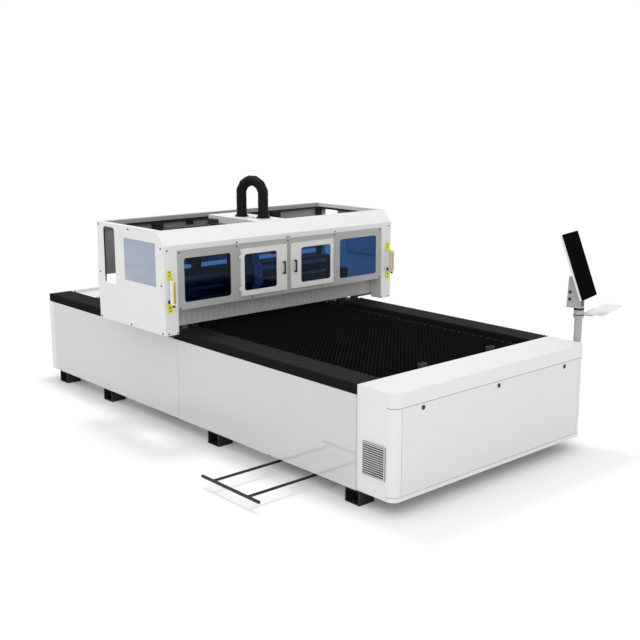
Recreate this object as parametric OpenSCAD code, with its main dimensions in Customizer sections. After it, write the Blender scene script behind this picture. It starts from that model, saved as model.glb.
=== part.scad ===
// Fiber laser cutting machine: open flatbed, travelling gantry in a glazed housing, operator console.
// Millimetres. Z is up, the operator end faces -Y, the bed runs along Y and the floor is at z = 0.

/* [Cabinet] */
// Width of the end cabinet
cab_w = 1950; // [1700:10:2300]
// Depth of the end cabinet
cab_d = 317; // [280:1:420]
// How far the cabinet top stands above the side panels
cab_rise = 65; // [30:1:110]
// Radius of the upright front corners
cab_r = 55; // [30:1:80]
// Thickness of the sheet metal covers
sheet = 3; // [2:0.5:4]
// Band of the cabinet front above the access panel
band_top = 94; // [80:1:130]
// Band of the cabinet front below the access panel
band_bottom = 27; // [20:1:40]
// Flat part of each corner cover
corner_flat = 14; // [6:1:40]
// Gap of the seams round the access panel and corner covers
seam = 3; // [2:0.5:4]
// Distance of the outer locks from the panel's ends
lock_in = 181; // [100:1:300]
// Distance of the cam locks below the panel top
lock_drop = 31; // [24:1:44]
// Radius of a cam lock head
lock_r = 14; // [12:1:18]
// Distance of the grille from the corner cover
vent_front = 15; // [15:1:60]
// Distance of the grille from the cabinet's rear
vent_rear = 55; // [30:1:80]
// Height of the ventilation grille
vent_h = 214; // [120:1:300]
// How far the ventilation grille stands out
vent_out = 10; // [4:1:16]
// Number of louvres in the grille
louvre_n = 14; // [8:1:18]

/* [Bed] */
// How far each bed side stands out past the cabinet
bed_over = 8; // [4:1:40]
// Distance from the cabinet front to the rear end
bed_l = 4313; // [4000:1:5000]
// Gap between the floor and the bed
base_z = 100; // [90:1:140]
// Height of the bed side panels
panel_h = 619; // [560:1:680]
// Distance of the side panel seam from the cabinet front
seam_y = 2262; // [1800:1:2800]
// Length of the side returns of the rear cover
rear_wrap = 78; // [50:1:140]
// Side of the square frame tubes
tube = 80; // [60:2:100]
// Wall of the frame tubes
wall = 8; // [5:0.5:10]
// Height of the rail beams
beam_h = 180; // [140:1:220]
// Length of a foot along the bed
foot_l = 130; // [90:1:160]
// Length of a foot across the bed
foot_w = 130; // [90:1:150]
// Wall of the foot tubes
foot_wall = 8; // [5:0.5:12]
// How far the front feet reach under the cabinet
foot_in = 31; // [10:1:50]
// Distance of the second feet from the cabinet front
foot_second = 1768; // [1500:1:1900]
// Distance of the third feet from the cabinet front
foot_third = 3279; // [3000:1:3400]
// Distance of the rear feet from the rear end
foot_back = 260; // [160:1:500]
// Width of the guide rails
rail_w = 34; // [25:1:40]
// Height of the guide rails
rail_h = 30; // [24:1:34]
// Side of the gear racks
rack_w = 25; // [20:1:28]

/* [Bellows] */
// Width of a bellows
bel_w = 218; // [195:1:240]
// Height of a bellows above the side panels
bel_h = 67; // [55:1:100]
// Length of one pleat
pleat = 25; // [20:1:40]
// Depth of one pleat
pleat_d = 12; // [6:0.5:16]
// Depth of the pleats on the bellows' top
pleat_top = 4; // [2:0.5:8]
// Thickness of the folded cloth between the pleats
bel_skin = 12; // [6:1:20]

/* [Slat table] */
// Distance between neighbouring slats
slat_pitch = 70; // [60:1:100]
// Thickness of a slat
slat_t = 5; // [3:0.5:8]
// Height of a slat from its foot to the tips
slat_h = 118; // [100:1:124]
// Height of the tips below the cabinet top
tip_drop = 16; // [12:1:30]
// Number of teeth on a slat
teeth = 22; // [12:1:24]
// Depth of the teeth
tooth_d = 26; // [12:1:40]
// Side of the slat frame tubes
frame_tube = 40; // [30:1:44]
// Thickness of the comb rails
comb_t = 8; // [5:0.5:10]
// Length of the white deck behind the slats
deck_l = 325; // [200:1:500]
// Height of the upstand on the rear deck
upstand_h = 26; // [15:1:60]
// Width of the sheet stops
stop_w = 60; // [40:1:100]

/* [Gantry] */
// Setback of the end carriages behind the housing front
car_back = 167; // [150:1:200]
// Depth of the crossbeam
beam_d = 205; // [160:1:215]
// Height of the crossbeam
cross_h = 260; // [200:1:280]
// Height of the carriage risers under the crossbeam
riser_h = 98; // [85:1:120]
// Side of the gantry drive motors
motor_w = 80; // [60:1:95]
// Height of the gantry drive motors
motor_h = 230; // [150:1:260]
// Rest position of the cutting head across the bed
head_x = -86; // [-600:1:600]
// Width of the cross carriage plate
plate_w = 276; // [260:2:280]
// Width of the carriage cover
cover_w = 288; // [288:1:360]
// Length of the carriage cover along the bed
cover_l = 638; // [560:1:700]
// Gap between the sloped roof edge and the cover
cover_gap = 11; // [6:1:60]
// Height of the carriage cover
cover_h = 56; // [40:1:70]
// Outer radius of the extraction hose
hose_r = 42; // [34:1:46]
// Bend radius of the extraction hose
hose_bend = 110; // [95:1:120]
// Height of the straight hose legs
hose_leg = 182; // [120:1:220]
// Width of the energy chain
chain_w = 100; // [60:1:120]
// Height of the energy chain links
link_h = 60; // [40:1:80]
// Length of one energy chain link
link_p = 58; // [40:1:80]
// Length of the chain's upper run at rest
chain_run = 460; // [380:1:470]

/* [Housing] */
// How far each housing side stands out past the bed
house_over = 179; // [140:1:260]
// Distance from the cabinet front to the housing front
house_y = 2134; // [1600:1:2600]
// Depth of the housing
house_d = 939; // [860:1:1100]
// Height of the housing
house_h = 762; // [720:1:900]
// Gap between the bellows and the housing
house_gap = 8; // [6:1:14]
// Depth of the sloping roof edge
slope_d = 92; // [70:1:120]
// Height of the sloping roof edge
slope_h = 103; // [90:1:120]
// Width of the front posts
post_w = 113; // [100:1:125]
// Side of the inner frame bars
bar = 40; // [30:1:44]
// Height of the folded lip round the roof opening
roof_lip = 32; // [20:1:45]
// Height of the rear panel
rear_h = 426; // [300:1:460]
// Length of the side windows
side_win_l = 435; // [300:1:500]
// Height of the side windows
side_win_h = 320; // [200:1:330]
// Distance of the side window from the sloped roof edge
side_win_in = 19; // [17:1:60]
// Width of the side slots
slot_w = 165; // [60:1:170]
// Height of the side slots
slot_h = 440; // [200:1:450]
// Distance of the grey window frame below the roof
win_drop = 142; // [140:1:160]
// Gap between a door and the fixed pane beside it
pane_gap = 88; // [75:1:140]
// Thickness of the window panes
pane_t = 5; // [3:0.5:6]
// Width of a door
door_w = 453; // [380:1:500]
// Height of a door
door_h = 365; // [300:1:420]
// Thickness of a door
door_t = 16; // [14:0.5:20]
// Distance between the doors
door_gap = 44; // [40:1:60]
// Width of the door's stile beside the pull
door_stile = 104; // [70:1:140]
// Width of the door's other rims
door_rim = 30; // [20:1:50]
// Length of a door handle
pull_l = 100; // [70:1:140]
// Length of the splash curtain below the window frame
curtain_l = 145; // [100:1:160]
// How far the splash curtain hangs behind the window frame
curtain_in = 112; // [90:1:140]
// Width of one curtain strip
strip_w = 50; // [30:1:80]
// Length of a light guard bar
guard_l = 177; // [120:1:300]
// How far the light guards stand out
guard_out = 70; // [55:1:110]
// Height of the guard brackets on the posts
bracket_h = 68; // [50:1:90]

/* [Console] */
// Radius of the console pole
pole_r = 28; // [22:0.5:32]
// Height of the pole above the cabinet top
pole_rise = 229; // [150:1:350]
// Distance of the pole from the cabinet side
pole_off = 55; // [45:1:90]
// How far the pole reaches down the cabinet side
pole_low = 320; // [250:1:450]
// Distance of the pole behind the cabinet front
pole_y = 110; // [100:1:200]
// Rest turn of the console
con_yaw = 14; // [0:1:15]
// Rest tilt of the monitor
mon_tilt = 20.5; // [10:0.5:25]
// Width of the monitor
mon_w = 261; // [200:1:360]
// Height of the monitor
mon_h = 485; // [300:1:520]
// Thickness of the monitor
mon_t = 35; // [25:1:45]
// Length of the keyboard tray
tray_w = 460; // [380:1:520]
// Depth of the keyboard tray
tray_d = 135; // [110:1:200]
// Thickness of the keyboard tray
tray_t = 5; // [3:0.5:8]

/* [Slag drawer] */
// Length of the slag tray across the bed
slag_l = 1600; // [1200:1:1650]
// Width of the slag tray along the bed
slag_w = 560; // [450:1:640]
// Depth of the slag tray
slag_d = 50; // [40:1:60]
// Distance of the slag tray from the cabinet front
slag_y = 640; // [520:1:700]
// Reach of the pull handle from the slag tray
pull_reach = 658; // [500:1:760]
// Length of the pull handle crossbar
pull_w = 598; // [420:1:640]
// Distance between the two handle rods
rod_gap = 361; // [250:1:400]
// Radius of the handle rods
rod_r = 11; // [8:0.5:11]

/* [Hidden] */
$fn = 48;

// Running clearance between pieces that move on each other
gap = 0.3;
// Assembly clearance between covers
fit = 0.5;

// Cabinet and bed outline
hc = cab_w / 2;
hb = hc + bed_over;
side_top = base_z + panel_h;
cab_top = side_top + cab_rise;
panel_z0 = base_z + band_bottom;
panel_z1 = cab_top - band_top;
panel_half = hc - cab_r - corner_flat;
panel_lip = 10;
lock_pitch = panel_half - lock_in;
lock_z = panel_z1 - lock_drop;
vent_y = cab_r + vent_front;
vent_w = cab_d - vent_rear - vent_y;
vent_z = base_z + 126;
bel_top = side_top + bel_h;
bel_in = hb - bel_w;
frame_out = hc - 25;
bel_wall = pleat_d + bel_skin;
rack_x = bel_in + bel_wall + 9;
beam_in = rack_x - 8;
beam_top = side_top - 19;
beam_bot = beam_top - beam_h;
bed_end = bed_l - sheet;
block_w = 90;
post_off = 32;
feet_y = [cab_d - foot_in, foot_second, foot_third, bed_l - foot_back];
rail_x = rack_x + rack_w + block_w / 2 + 20;
stop_y = bed_end - 8;

// Slat table
slat_half = bel_in - 27;
tip_z = cab_top - tip_drop;
slat_foot = tip_z - slat_h;
seat_z = slat_foot + 50;
comb_x = slat_half - 16;
ledge_z = slat_foot - 10 - frame_tube;
ledge_in = slat_half - 23;
table_y0 = cab_d + 5;
table_y1 = bed_end - deck_l - 5;
slat_y0 = table_y0 + 28;
slat_n = floor((table_y1 - slat_y0 - 20) / slat_pitch) + 1;
stop_mid = slat_y0 + slat_pitch / 2;
stop_x = [-320, 380];

// Gantry
house_y1 = house_y + house_d;
slope_y = house_y + slope_d;
house_z0 = bel_top + house_gap;
house_top = house_z0 + house_h;
car_y = house_y + car_back;
car_end = house_y1 - car_back - 7;
front_span = [cab_d + gap, car_y - gap];
rear_span = [car_end + gap, stop_y - gap];
car_z0 = beam_top + rail_h + 18;
car_z1 = car_z0 + 22;
car_in = slat_half + 7;
cross_z0 = car_z1 + riser_h;
cross_z1 = cross_z0 + cross_h;
cross_y1 = car_end - 4;
cross_y0 = cross_y1 - beam_d;
pinion_r = 22;
pinion_x = rack_x - pinion_r - fit;
pinion_y = car_y + motor_w / 2 + 11;
xrail_t = 26;
xrail_w = 30;
xrail_z = [cross_z0 + 37, cross_z1 - 37];
plate_y1 = cross_y0 - xrail_t - 14;
plate_t = 22;
plate_y0 = plate_y1 - plate_t;
cover_z1 = house_top;
cover_z0 = cover_z1 - cover_h;
cover_y0 = slope_y + 8 + cover_gap;
cover_y1 = cover_y0 + cover_l;
cover_x0 = head_x - cover_w / 2;
hose_x = head_x + 16;
hose_in = 252;
hose_y = cover_y0 + hose_in;
hose_turn = 104;
zax_w = 170;
zax_d = 120;
zax_y0 = plate_y0 - zax_d;
thin_post = [278, 278 + 50];
wide_post = [575, 575 + 90];
zax_drop = 176;
zax_z1 = cover_z1 - zax_drop;
zax_lift = 110;
zmotor_w = 90;
zmotor_h = 120;
zmotor_in = 15;
slide_w = 140;
slide_t = 12;
slide_z = [130, 400];
body_w = 90;
body_z = [120, 300];
lens_z = [300, 470];
plug_z = [470, 500];
barrel_z = [50, 120];
neck_z = [30, 50];
head_y = zax_y0 - 56;
nozzle_z = tip_z + 122;
chain_y = cross_y1 - beam_d / 2;
chain_r = 50;
chain_z = cover_z0 - 2 * chain_r - link_h - 8;
chain_end = cover_x0 - gap;
chain_fix = head_x + 100;
chain_bend = chain_end - chain_run;

// Housing
hh = hb + house_over;
hin = hh - sheet;
roof_in = hin - bar - 3;
roof_y = house_y1 - sheet - bar - 3;
tray_x0 = 14 - roof_in;
side_win_y = slope_y + side_win_in;
slope_z = house_top - slope_h;
slope_k = slope_d / slope_h;
side_win_z = slope_z + 13;
lap = 11;
open_half = hh - post_w;
win_z1 = house_top - win_drop;
win_z0 = win_z1 - door_h - 77;
win_y0 = house_y + sheet;
win_y1 = win_y0 + 4;
curtain_y = win_y1 + curtain_in;
win_h = win_z1 - win_z0;
door_in = door_gap / 2;
door_out = door_in + door_w;
pane_in = door_out + pane_gap;
pane_out = open_half - 62;
pane_z0 = win_z0 + 52;
pane_z1 = win_z1 - 62;
door_z0 = win_z0 + 34;
door_z1 = door_z0 + door_h;
door_y1 = win_y0 - gap;
door_y0 = door_y1 - door_t;
dwin_out = door_out - door_rim;
dwin_in = door_in + door_stile;
dwin_z0 = door_z0 + door_rim + 10;
dwin_z1 = door_z1 - door_rim - 11;
hinge_x = door_out + 7;
hinge_r = 6;
hinge_y = door_y1 - hinge_r;
hinge_z = [door_z0 + 60, door_z1 - 60];
pull_x = door_in + 36;
pull_z = (door_z0 + door_z1) / 2;
guard_x = hh - 40;
guard_z1 = slope_z - 244;
guard_z0 = guard_z1 - guard_l;

// Console
pole_x = hc + pole_off;
pole_top = cab_top + pole_rise;
collar_z = pole_top - 47;
hub_r = pole_r + 8;
piv_y = 56;
piv_z = pole_top + 123;
piv_r = 5;
ear_in = 32;
ear_rise = 112;
ear_back = 80;
ear_front = 24;
arm_l = 240;
arm_in = 60;
mon_back = -84;
mon_v0 = -78;
arm_z = collar_z + 1;
tray_y1 = -hub_r - 4;

// Slag drawer
slag_top = base_z - 16;
slag_z0 = slag_top - slag_d;
slag_x0 = 100 - frame_out;
slag_y1 = slag_y + slag_w;
rod_z = slag_top - 14;
bar_x = slag_x0 - pull_reach;
bar_mid = slag_y + slag_w / 2;

// The origin lies under the middle of the whole machine
x_min = bar_x - rod_r;
tray_r = 6;
tray_front = tray_y1 - tray_d + tray_r;
x_max = pole_x + (tray_w - tray_r) * cos(con_yaw) - tray_front * sin(con_yaw) + tray_r;
y_min = pole_y + tray_r * sin(con_yaw) + tray_front * cos(con_yaw) - tray_r;
mid_x = (x_min + x_max) / 2;
mid_y = (y_min + bed_l) / 2;

// Helpers
module place() { translate([-mid_x, -mid_y, 0]) children(); }
module both() { children(); mirror([1, 0, 0]) children(); }
module box(x, y, z) { translate([x[0], y[0], z[0]]) cube([x[1] - x[0], y[1] - y[0], z[1] - z[0]]); }
module tube_x(x, y, z, w) {
    difference() {
        box(x, y, z);
        box([x[0] - 1, x[1] + 1], [y[0] + w, y[1] - w], [z[0] + w, z[1] - w]);
    }
}
module tube_y(x, y, z, w) {
    difference() {
        box(x, y, z);
        box([x[0] + w, x[1] - w], [y[0] - 1, y[1] + 1], [z[0] + w, z[1] - w]);
    }
}
module tube_z(x, y, z, w) {
    difference() {
        box(x, y, z);
        box([x[0] + w, x[1] - w], [y[0] + w, y[1] - w], [z[0] - 1, z[1] + 1]);
    }
}
module yz(x) { translate([x[0], 0, 0]) rotate([90, 0, 90]) linear_extrude(x[1] - x[0]) children(); }
module xz(y) { translate([0, y[1], 0]) rotate([90, 0, 0]) linear_extrude(y[1] - y[0]) children(); }
module round_rect(u, v, r) {
    translate([u[0] + r, v[0]]) square([u[1] - u[0] - 2 * r, v[1] - v[0]]);
    translate([u[0], v[0] + r]) square([u[1] - u[0], v[1] - v[0] - 2 * r]);
    for (a = [u[0] + r, u[1] - r]) for (b = [v[0] + r, v[1] - r]) translate([a, b]) circle(r);
}
module pin(c, r, z) { translate([c[0], c[1], z[0]]) cylinder(r = r, h = z[1] - z[0]); }

// Bed: welded base, rail beams, uprights, cross tubes and ledges for the slat table
module bed_frame() {
    color("#3a3f44") place() {
        both() {
            tube_y([frame_out - tube, frame_out], [30, bed_end], [base_z, base_z + tube], wall);
            tube_y([beam_in, frame_out], [cab_d, bed_end], [beam_bot, beam_top], wall);
            for (y = feet_y) {
                u = y + (foot_l - tube) / 2 + post_off;
                tube_z([frame_out - tube, frame_out], [u, u + tube], [base_z + tube, beam_bot], wall);
            }
            box([ledge_in, beam_in], [table_y0, bed_end], [ledge_z - 8, ledge_z]);
            box([beam_in, frame_out], [stop_y, bed_end], [beam_top, side_top + 3]);
            box([bel_in + 3, hb - sheet - 1], [stop_y, bed_end], [side_top + 3, bel_top - 2]);
        }
        for (y = feet_y) {
            tube_x([tube - frame_out, frame_out - tube], [y + (foot_l - tube) / 2, y + (foot_l + tube) / 2],
                [base_z, base_z + tube], wall);
        }
        tube_x([tube - frame_out, frame_out - tube], [30, 30 + tube], [base_z, base_z + tube], wall);
    }
}

// Feet: eight short square tubes, open towards the sides
module feet() {
    color("#1c2124") place() both() for (y = feet_y) {
        tube_x([hb - 3 - foot_w, hb - 3], [y, y + foot_l], [0, base_z], foot_wall);
    }
}

// Linear guide rails with hollow flanks, and gear racks beside them
module guide_rails() {
    color("#9aa0a4") place() both() {
        translate([0, stop_y - 4, 0]) rotate([90, 0, 0]) linear_extrude(stop_y - 4 - table_y0) difference() {
            translate([rail_x - rail_w / 2, beam_top]) square([rail_w, rail_h]);
            for (s = [-1, 1]) translate([rail_x + s * rail_w / 2, beam_top + rail_h * 0.6]) circle(4);
        }
        box([rack_x, rack_x + rack_w], [table_y0, stop_y - 4], [beam_top, beam_top + rack_w]);
    }
}

// Frame of the slat table with notched comb rails and two sheet stops
module slat_frame() {
    color("#3d4850") place() {
        both() {
            tube_y([ledge_in, ledge_in + frame_tube], [table_y0, table_y1],
                [ledge_z, ledge_z + frame_tube], 4);
            difference() {
                box([comb_x, comb_x + comb_t], [table_y0, table_y1], [ledge_z + frame_tube, seat_z + 45]);
                for (i = [0:slat_n - 1]) {
                    y = slat_y0 + i * slat_pitch;
                    box([comb_x - 1, comb_x + comb_t + 1], [y - fit, y + slat_t + fit],
                        [seat_z, seat_z + 50]);
                }
            }
        }
        for (y = [stop_mid - frame_tube / 2, table_y1 - frame_tube]) {
            tube_x([-ledge_in, ledge_in], [y, y + frame_tube], [ledge_z, ledge_z + frame_tube], 4);
        }
        for (x = stop_x) {
            tube_z([x - stop_w / 2, x + stop_w / 2], [stop_mid - 16, stop_mid + 16],
                [ledge_z + frame_tube, cab_top + 5], 4);
        }
    }
}

// Slats: saw-toothed strips dropped into the comb rails
module slats() {
    step = slat_half / teeth;
    top = [for (i = [0:2 * teeth]) [i * step - slat_half, i % 2 == 0 ? tip_z - tooth_d : tip_z]];
    n0 = comb_x - 1;
    n1 = comb_x + comb_t + 1;
    foot = [[slat_half, slat_foot], [n1, slat_foot], [n1, seat_z], [n0, seat_z], [n0, slat_foot],
        [-n0, slat_foot], [-n0, seat_z], [-n1, seat_z], [-n1, slat_foot], [-slat_half, slat_foot]];
    color("#141414") place() for (i = [0:slat_n - 1]) {
        xz([slat_y0 + i * slat_pitch, slat_y0 + i * slat_pitch + slat_t]) polygon(concat(top, foot));
    }
}

// Side panels: folded trays with a seam, carried by the base tubes
module side_tray(y) {
    box([hb - sheet, hb], y, [base_z, side_top]);
    box([frame_out, hb - sheet], y, [base_z, base_z + sheet]);
    box([frame_out, hb - sheet], y, [side_top - sheet, side_top]);
}
module side_pair() {
    side_tray([cab_d, seam_y - 1]);
    side_tray([seam_y + 1, bed_l - rear_wrap - 1]);
}
module left_panels() { color("#c9c8c9") place() mirror([1, 0, 0]) side_pair(); }
module right_panels() { color("#c9c8c9") place() side_pair(); }

// Rear cover wrapped round both rear corners
module rear_cover() {
    color("#e6e6e5") place() {
        box([-hb, hb], [bed_end, bed_l], [base_z, side_top]);
        both() box([hb - sheet, hb], [bed_l - rear_wrap, bed_end], [base_z, side_top]);
    }
}

// White deck behind the slats with an upstand along the rear end
module rear_deck() {
    w = slat_half;
    y0 = bed_end - deck_l;
    top = tip_z - 8;
    color("#e4e4e3") place() {
        box([-w, w], [y0, bed_end], [top - sheet, top]);
        box([-w, w], [y0, y0 + sheet], [ledge_z, top - sheet]);
        both() box([w - sheet, w], [y0 + sheet, bed_end], [ledge_z, top - sheet]);
        tube_x([-w, w], [bed_end - 25, bed_end], [top, top + upstand_h], sheet);
    }
}

// End cabinet: folded shell with rounded front corners
module cab_outline(inset) {
    r = cab_r - inset;
    h = hc - inset;
    translate([-h, cab_r]) square([2 * h, cab_d - inset - cab_r]);
    translate([cab_r - hc, inset]) square([2 * (hc - cab_r), cab_d - 2 * inset]);
    for (s = [-1, 1]) translate([s * (hc - cab_r), cab_r]) circle(r);
}
module cab_ring() {
    difference() {
        cab_outline(0);
        cab_outline(sheet);
    }
}
module cabinet_shell() {
    color("#e6e6e5") place() {
        difference() {
            translate([0, 0, base_z]) linear_extrude(cab_top - base_z) cab_ring();
            box([-hc - 1, hc + 1], [-1, cab_r + 15 + fit], [panel_z0, panel_z1 + fit]);
            box([sheet - hc, hc - sheet], [cab_d - sheet - 1, cab_d + 1], [base_z - 1, base_z + tube + 3]);
            box([-hc - 1, sheet + 1 - hc], [vent_y + 5, vent_y + vent_w - 5],
                [vent_z + 5, vent_z + vent_h - 5]);
        }
        translate([0, 0, cab_top - sheet]) linear_extrude(sheet) cab_outline(sheet);
        box([-panel_half, panel_half], [sheet, panel_lip], [panel_z1 + fit, panel_z1 + fit + sheet]);
        box([1 - hc + cab_r, hc - cab_r - 1], [sheet, panel_lip], [panel_z0 - sheet, panel_z0]);
        both() box([frame_out, hc - sheet], [cab_r, cab_d - sheet], [base_z, base_z + sheet]);
    }
}

// Rounded corner covers beside the access panel, each on a tab
module corner_covers() {
    x0 = panel_half + seam;
    color("#dcdcdb") place() both() {
        translate([0, 0, panel_z0 + seam]) linear_extrude(panel_z1 - panel_z0 - 2 * seam) intersection() {
            cab_ring();
            translate([x0, -1]) square([cab_r + corner_flat, cab_r + 16]);
        }
        box([x0, hc - cab_r - 1], [sheet, panel_lip], [panel_z0, panel_z0 + 30]);
    }
}

// Lift-off access panel: folded tray with three lock holes and two support lugs
module access_panel() {
    z = [panel_z0 + seam, panel_z1 - seam];
    color("#dededd") place() difference() {
        union() {
            box([-panel_half, panel_half], [0, sheet], z);
            tube_y([-panel_half, panel_half], [sheet, panel_lip], z, sheet);
            for (x = [-lock_pitch, lock_pitch]) box([x - 30, x + 30], [sheet, panel_lip], [panel_z0, z[0]]);
        }
        for (x = [-lock_pitch, 0, lock_pitch]) {
            translate([x, -1, lock_z]) rotate([-90, 0, 0]) cylinder(r = lock_r - 4 + gap, h = sheet + 2);
        }
    }
}

// Louvred ventilation grille on the left cabinet side
module vent_grille() {
    pitch = (vent_h - 8) / louvre_n;
    out = -hc - vent_out;
    color("#b9bcbe") place() {
        difference() {
            box([out, -hc], [vent_y, vent_y + vent_w], [vent_z, vent_z + vent_h]);
            box([out - 1, 1 - hc], [vent_y + 4, vent_y + vent_w - 4], [vent_z + 4, vent_z + vent_h - 4]);
        }
        for (i = [0:louvre_n - 1]) {
            z = vent_z + 4 + (i + 0.3) * pitch;
            xz([vent_y + 3.5, vent_y + vent_w - 3.5]) translate([out, z]) {
                polygon([[0.2, 0], [vent_out, pitch * 0.12], [vent_out, pitch * 0.12 + 2], [0.2, 4]]);
            }
        }
    }
}

// Cam locks: slotted head, shaft and cam behind the cabinet lip
module cam_lock(x) {
    color("#2a2d30") place() translate([x, 0, lock_z]) {
        difference() {
            translate([0, -gap, 0]) rotate([90, 0, 0]) cylinder(r = lock_r, h = 4);
            box([-lock_r - 1, lock_r + 1], [-5 - gap, -2.5], [-1.5, 1.5]);
        }
        translate([0, -gap, 0]) rotate([-90, 0, 0]) cylinder(r = lock_r - 4, h = panel_lip + 2 * gap);
        box([-8, 8], [panel_lip + gap, panel_lip + gap + 3], [-14, lock_drop + 20]);
    }
}
module cam_lock_left() { cam_lock(-lock_pitch); }
module cam_lock_mid() { cam_lock(0); }
module cam_lock_right() { cam_lock(lock_pitch); }

// Console pole clamped to the right cabinet side
module console_pole() {
    color("#a9abac") place() difference() {
        union() {
            pin([pole_x, pole_y], pole_r, [cab_top - pole_low, pole_top]);
            pin([pole_x, pole_y], hub_r + 2, [collar_z - 16, collar_z]);
            for (z = [cab_top - pole_low + 30, cab_top - 80]) {
                box([hc, pole_x], [pole_y - pole_r - 8, pole_y + pole_r + 8], [z, z + 40]);
                pin([pole_x, pole_y], pole_r + 8, [z, z + 40]);
            }
        }
        pin([pole_x, pole_y], pole_r - 4, [cab_top - pole_low - 1, pole_top + 1]);
    }
}

// Runners under the bed that carry the slag tray
module drawer_runners() {
    color("#3a3f44") place() {
        for (s = [0, 1]) translate([0, s * 2 * bar_mid, 0]) mirror([0, s, 0]) {
            box([-frame_out, frame_out], [slag_y - 26, slag_y - 22], [slag_top - 8, base_z]);
            box([-frame_out, frame_out], [slag_y - 22, slag_y - 4], [slag_top - 8, slag_top - 4]);
        }
    }
}

// Bellows: pleated covers over the guide rails, open below
module bellows(y) {
    n = round((y[1] - y[0]) / pleat);
    p = (y[1] - y[0]) / n / 2;
    top = [for (i = [0:2 * n]) [y[0] + i * p, i % 2 == 0 ? bel_top - pleat_top : bel_top]];
    low = side_top + gap;
    right = [for (i = [0:2 * n]) [i % 2 == 0 ? hb - pleat_d : hb, y[0] + i * p]];
    left = [for (i = [0:2 * n]) [i % 2 == 0 ? bel_in + pleat_d : bel_in, y[1] - i * p]];
    color("#262626") place() difference() {
        intersection() {
            yz([bel_in - 1, hb + 1]) polygon(concat(top, [[y[1], low], [y[0], low]]));
            translate([0, 0, low - 1]) linear_extrude(bel_top - low + 2) polygon(concat(right, left));
        }
        box([bel_in + bel_wall, hb - bel_wall], [y[0] - 1, y[1] + 1], [low - 2, bel_top - bel_wall]);
    }
}
module bellows_left_front() { translate([-2 * mid_x, 0, 0]) mirror([1, 0, 0]) bellows(front_span); }
module bellows_left_rear() { translate([-2 * mid_x, 0, 0]) mirror([1, 0, 0]) bellows(rear_span); }
module bellows_right_front() { bellows(front_span); }
module bellows_right_rear() { bellows(rear_span); }

// End carriages: base plates, bellows plates, risers under the crossbeam and housing pads
module end_carriages() {
    color("#4a5157") place() both() {
        difference() {
            box([car_in, frame_out + 5], [car_y + 4, car_end - 4], [car_z0, car_z1]);
            pin([pinion_x, pinion_y], 13, [car_z0 - 1, car_z1 + 1]);
        }
        for (y = [car_y, car_end - 4]) difference() {
            box([bel_in, hb], [y, y + 4], [side_top + 3, bel_top]);
            box([beam_in, frame_out], [y - 1, y + 5], [side_top, car_z0 - 8]);
        }
        tube_z([beam_in + 10, frame_out], [cross_y0, cross_y1], [car_z1, cross_z0], 12);
        tube_z([frame_out - 50, frame_out], [car_y + 15, car_y + 65], [car_z1, house_z0 + bar], 6);
    }
}

// Bearing blocks that run on the guide rails
module rail_blocks() {
    color("#7d8489") place() both() for (y = [car_y + 90, car_end - 180]) difference() {
        box([rail_x - block_w / 2, rail_x + block_w / 2], [y, y + 150], [beam_top + 6, car_z0]);
        box([rail_x - rail_w / 2 - gap, rail_x + rail_w / 2 + gap], [y - 1, y + 151],
            [beam_top + 5, beam_top + rail_h + gap]);
    }
}

// Crossbeam: square tube on the risers
module crossbeam() {
    color("#5a6166") place() {
        tube_x([-frame_out, frame_out], [cross_y0, cross_y1], [cross_z0, cross_z1], wall);
    }
}

// Guide rails and rack on the front of the crossbeam
module x_rails() {
    color("#9aa0a4") place() {
        for (z = xrail_z) yz([60 - frame_out, frame_out - 60]) difference() {
            translate([cross_y0 - xrail_t, z - xrail_w / 2]) square([xrail_t, xrail_w]);
            for (s = [-1, 1]) translate([cross_y0 - xrail_t * 0.6, z + s * xrail_w / 2]) circle(4);
        }
        z = (xrail_z[0] + xrail_z[1]) / 2;
        box([60 - frame_out, frame_out - 60], [cross_y0 - 22, cross_y0], [z - 12, z + 12]);
    }
}

// Drive motors with gearbox, shaft and pinion
module drive_motors() {
    color("#23272a") place() both() {
        pin([pinion_x, pinion_y], pinion_r, [beam_top + 1, beam_top + rack_w]);
        pin([pinion_x, pinion_y], 12, [beam_top + rack_w, car_z1]);
        pin([pinion_x, pinion_y], motor_w / 2, [car_z1, car_z1 + 70]);
        translate([pinion_x - motor_w / 2, pinion_y - motor_w / 2, car_z1 + 70]) {
            cube([motor_w, motor_w, motor_h]);
        }
    }
}

// Guide channel for the energy chain on brackets over the crossbeam
module chain_tray() {
    x1 = chain_fix + 20;
    y0 = chain_y - chain_w / 2 - 12;
    y1 = chain_y + chain_w / 2 + 12;
    top = chain_z + 2 * chain_r + link_h - 2;
    color("#1d1f21") place() {
        box([tray_x0, x1], [y0, y1], [chain_z - 3, chain_z]);
        for (y = [y0, y1 - 3]) box([tray_x0, x1], [y, y + 3], [chain_z, top]);
        for (x = [-frame_out + 60, (x1 - frame_out) / 2, x1 - 80]) {
            tube_z([x, x + 60], [chain_y - 30, chain_y + 30], [cross_z1, chain_z - 3], 4);
        }
    }
}

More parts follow.
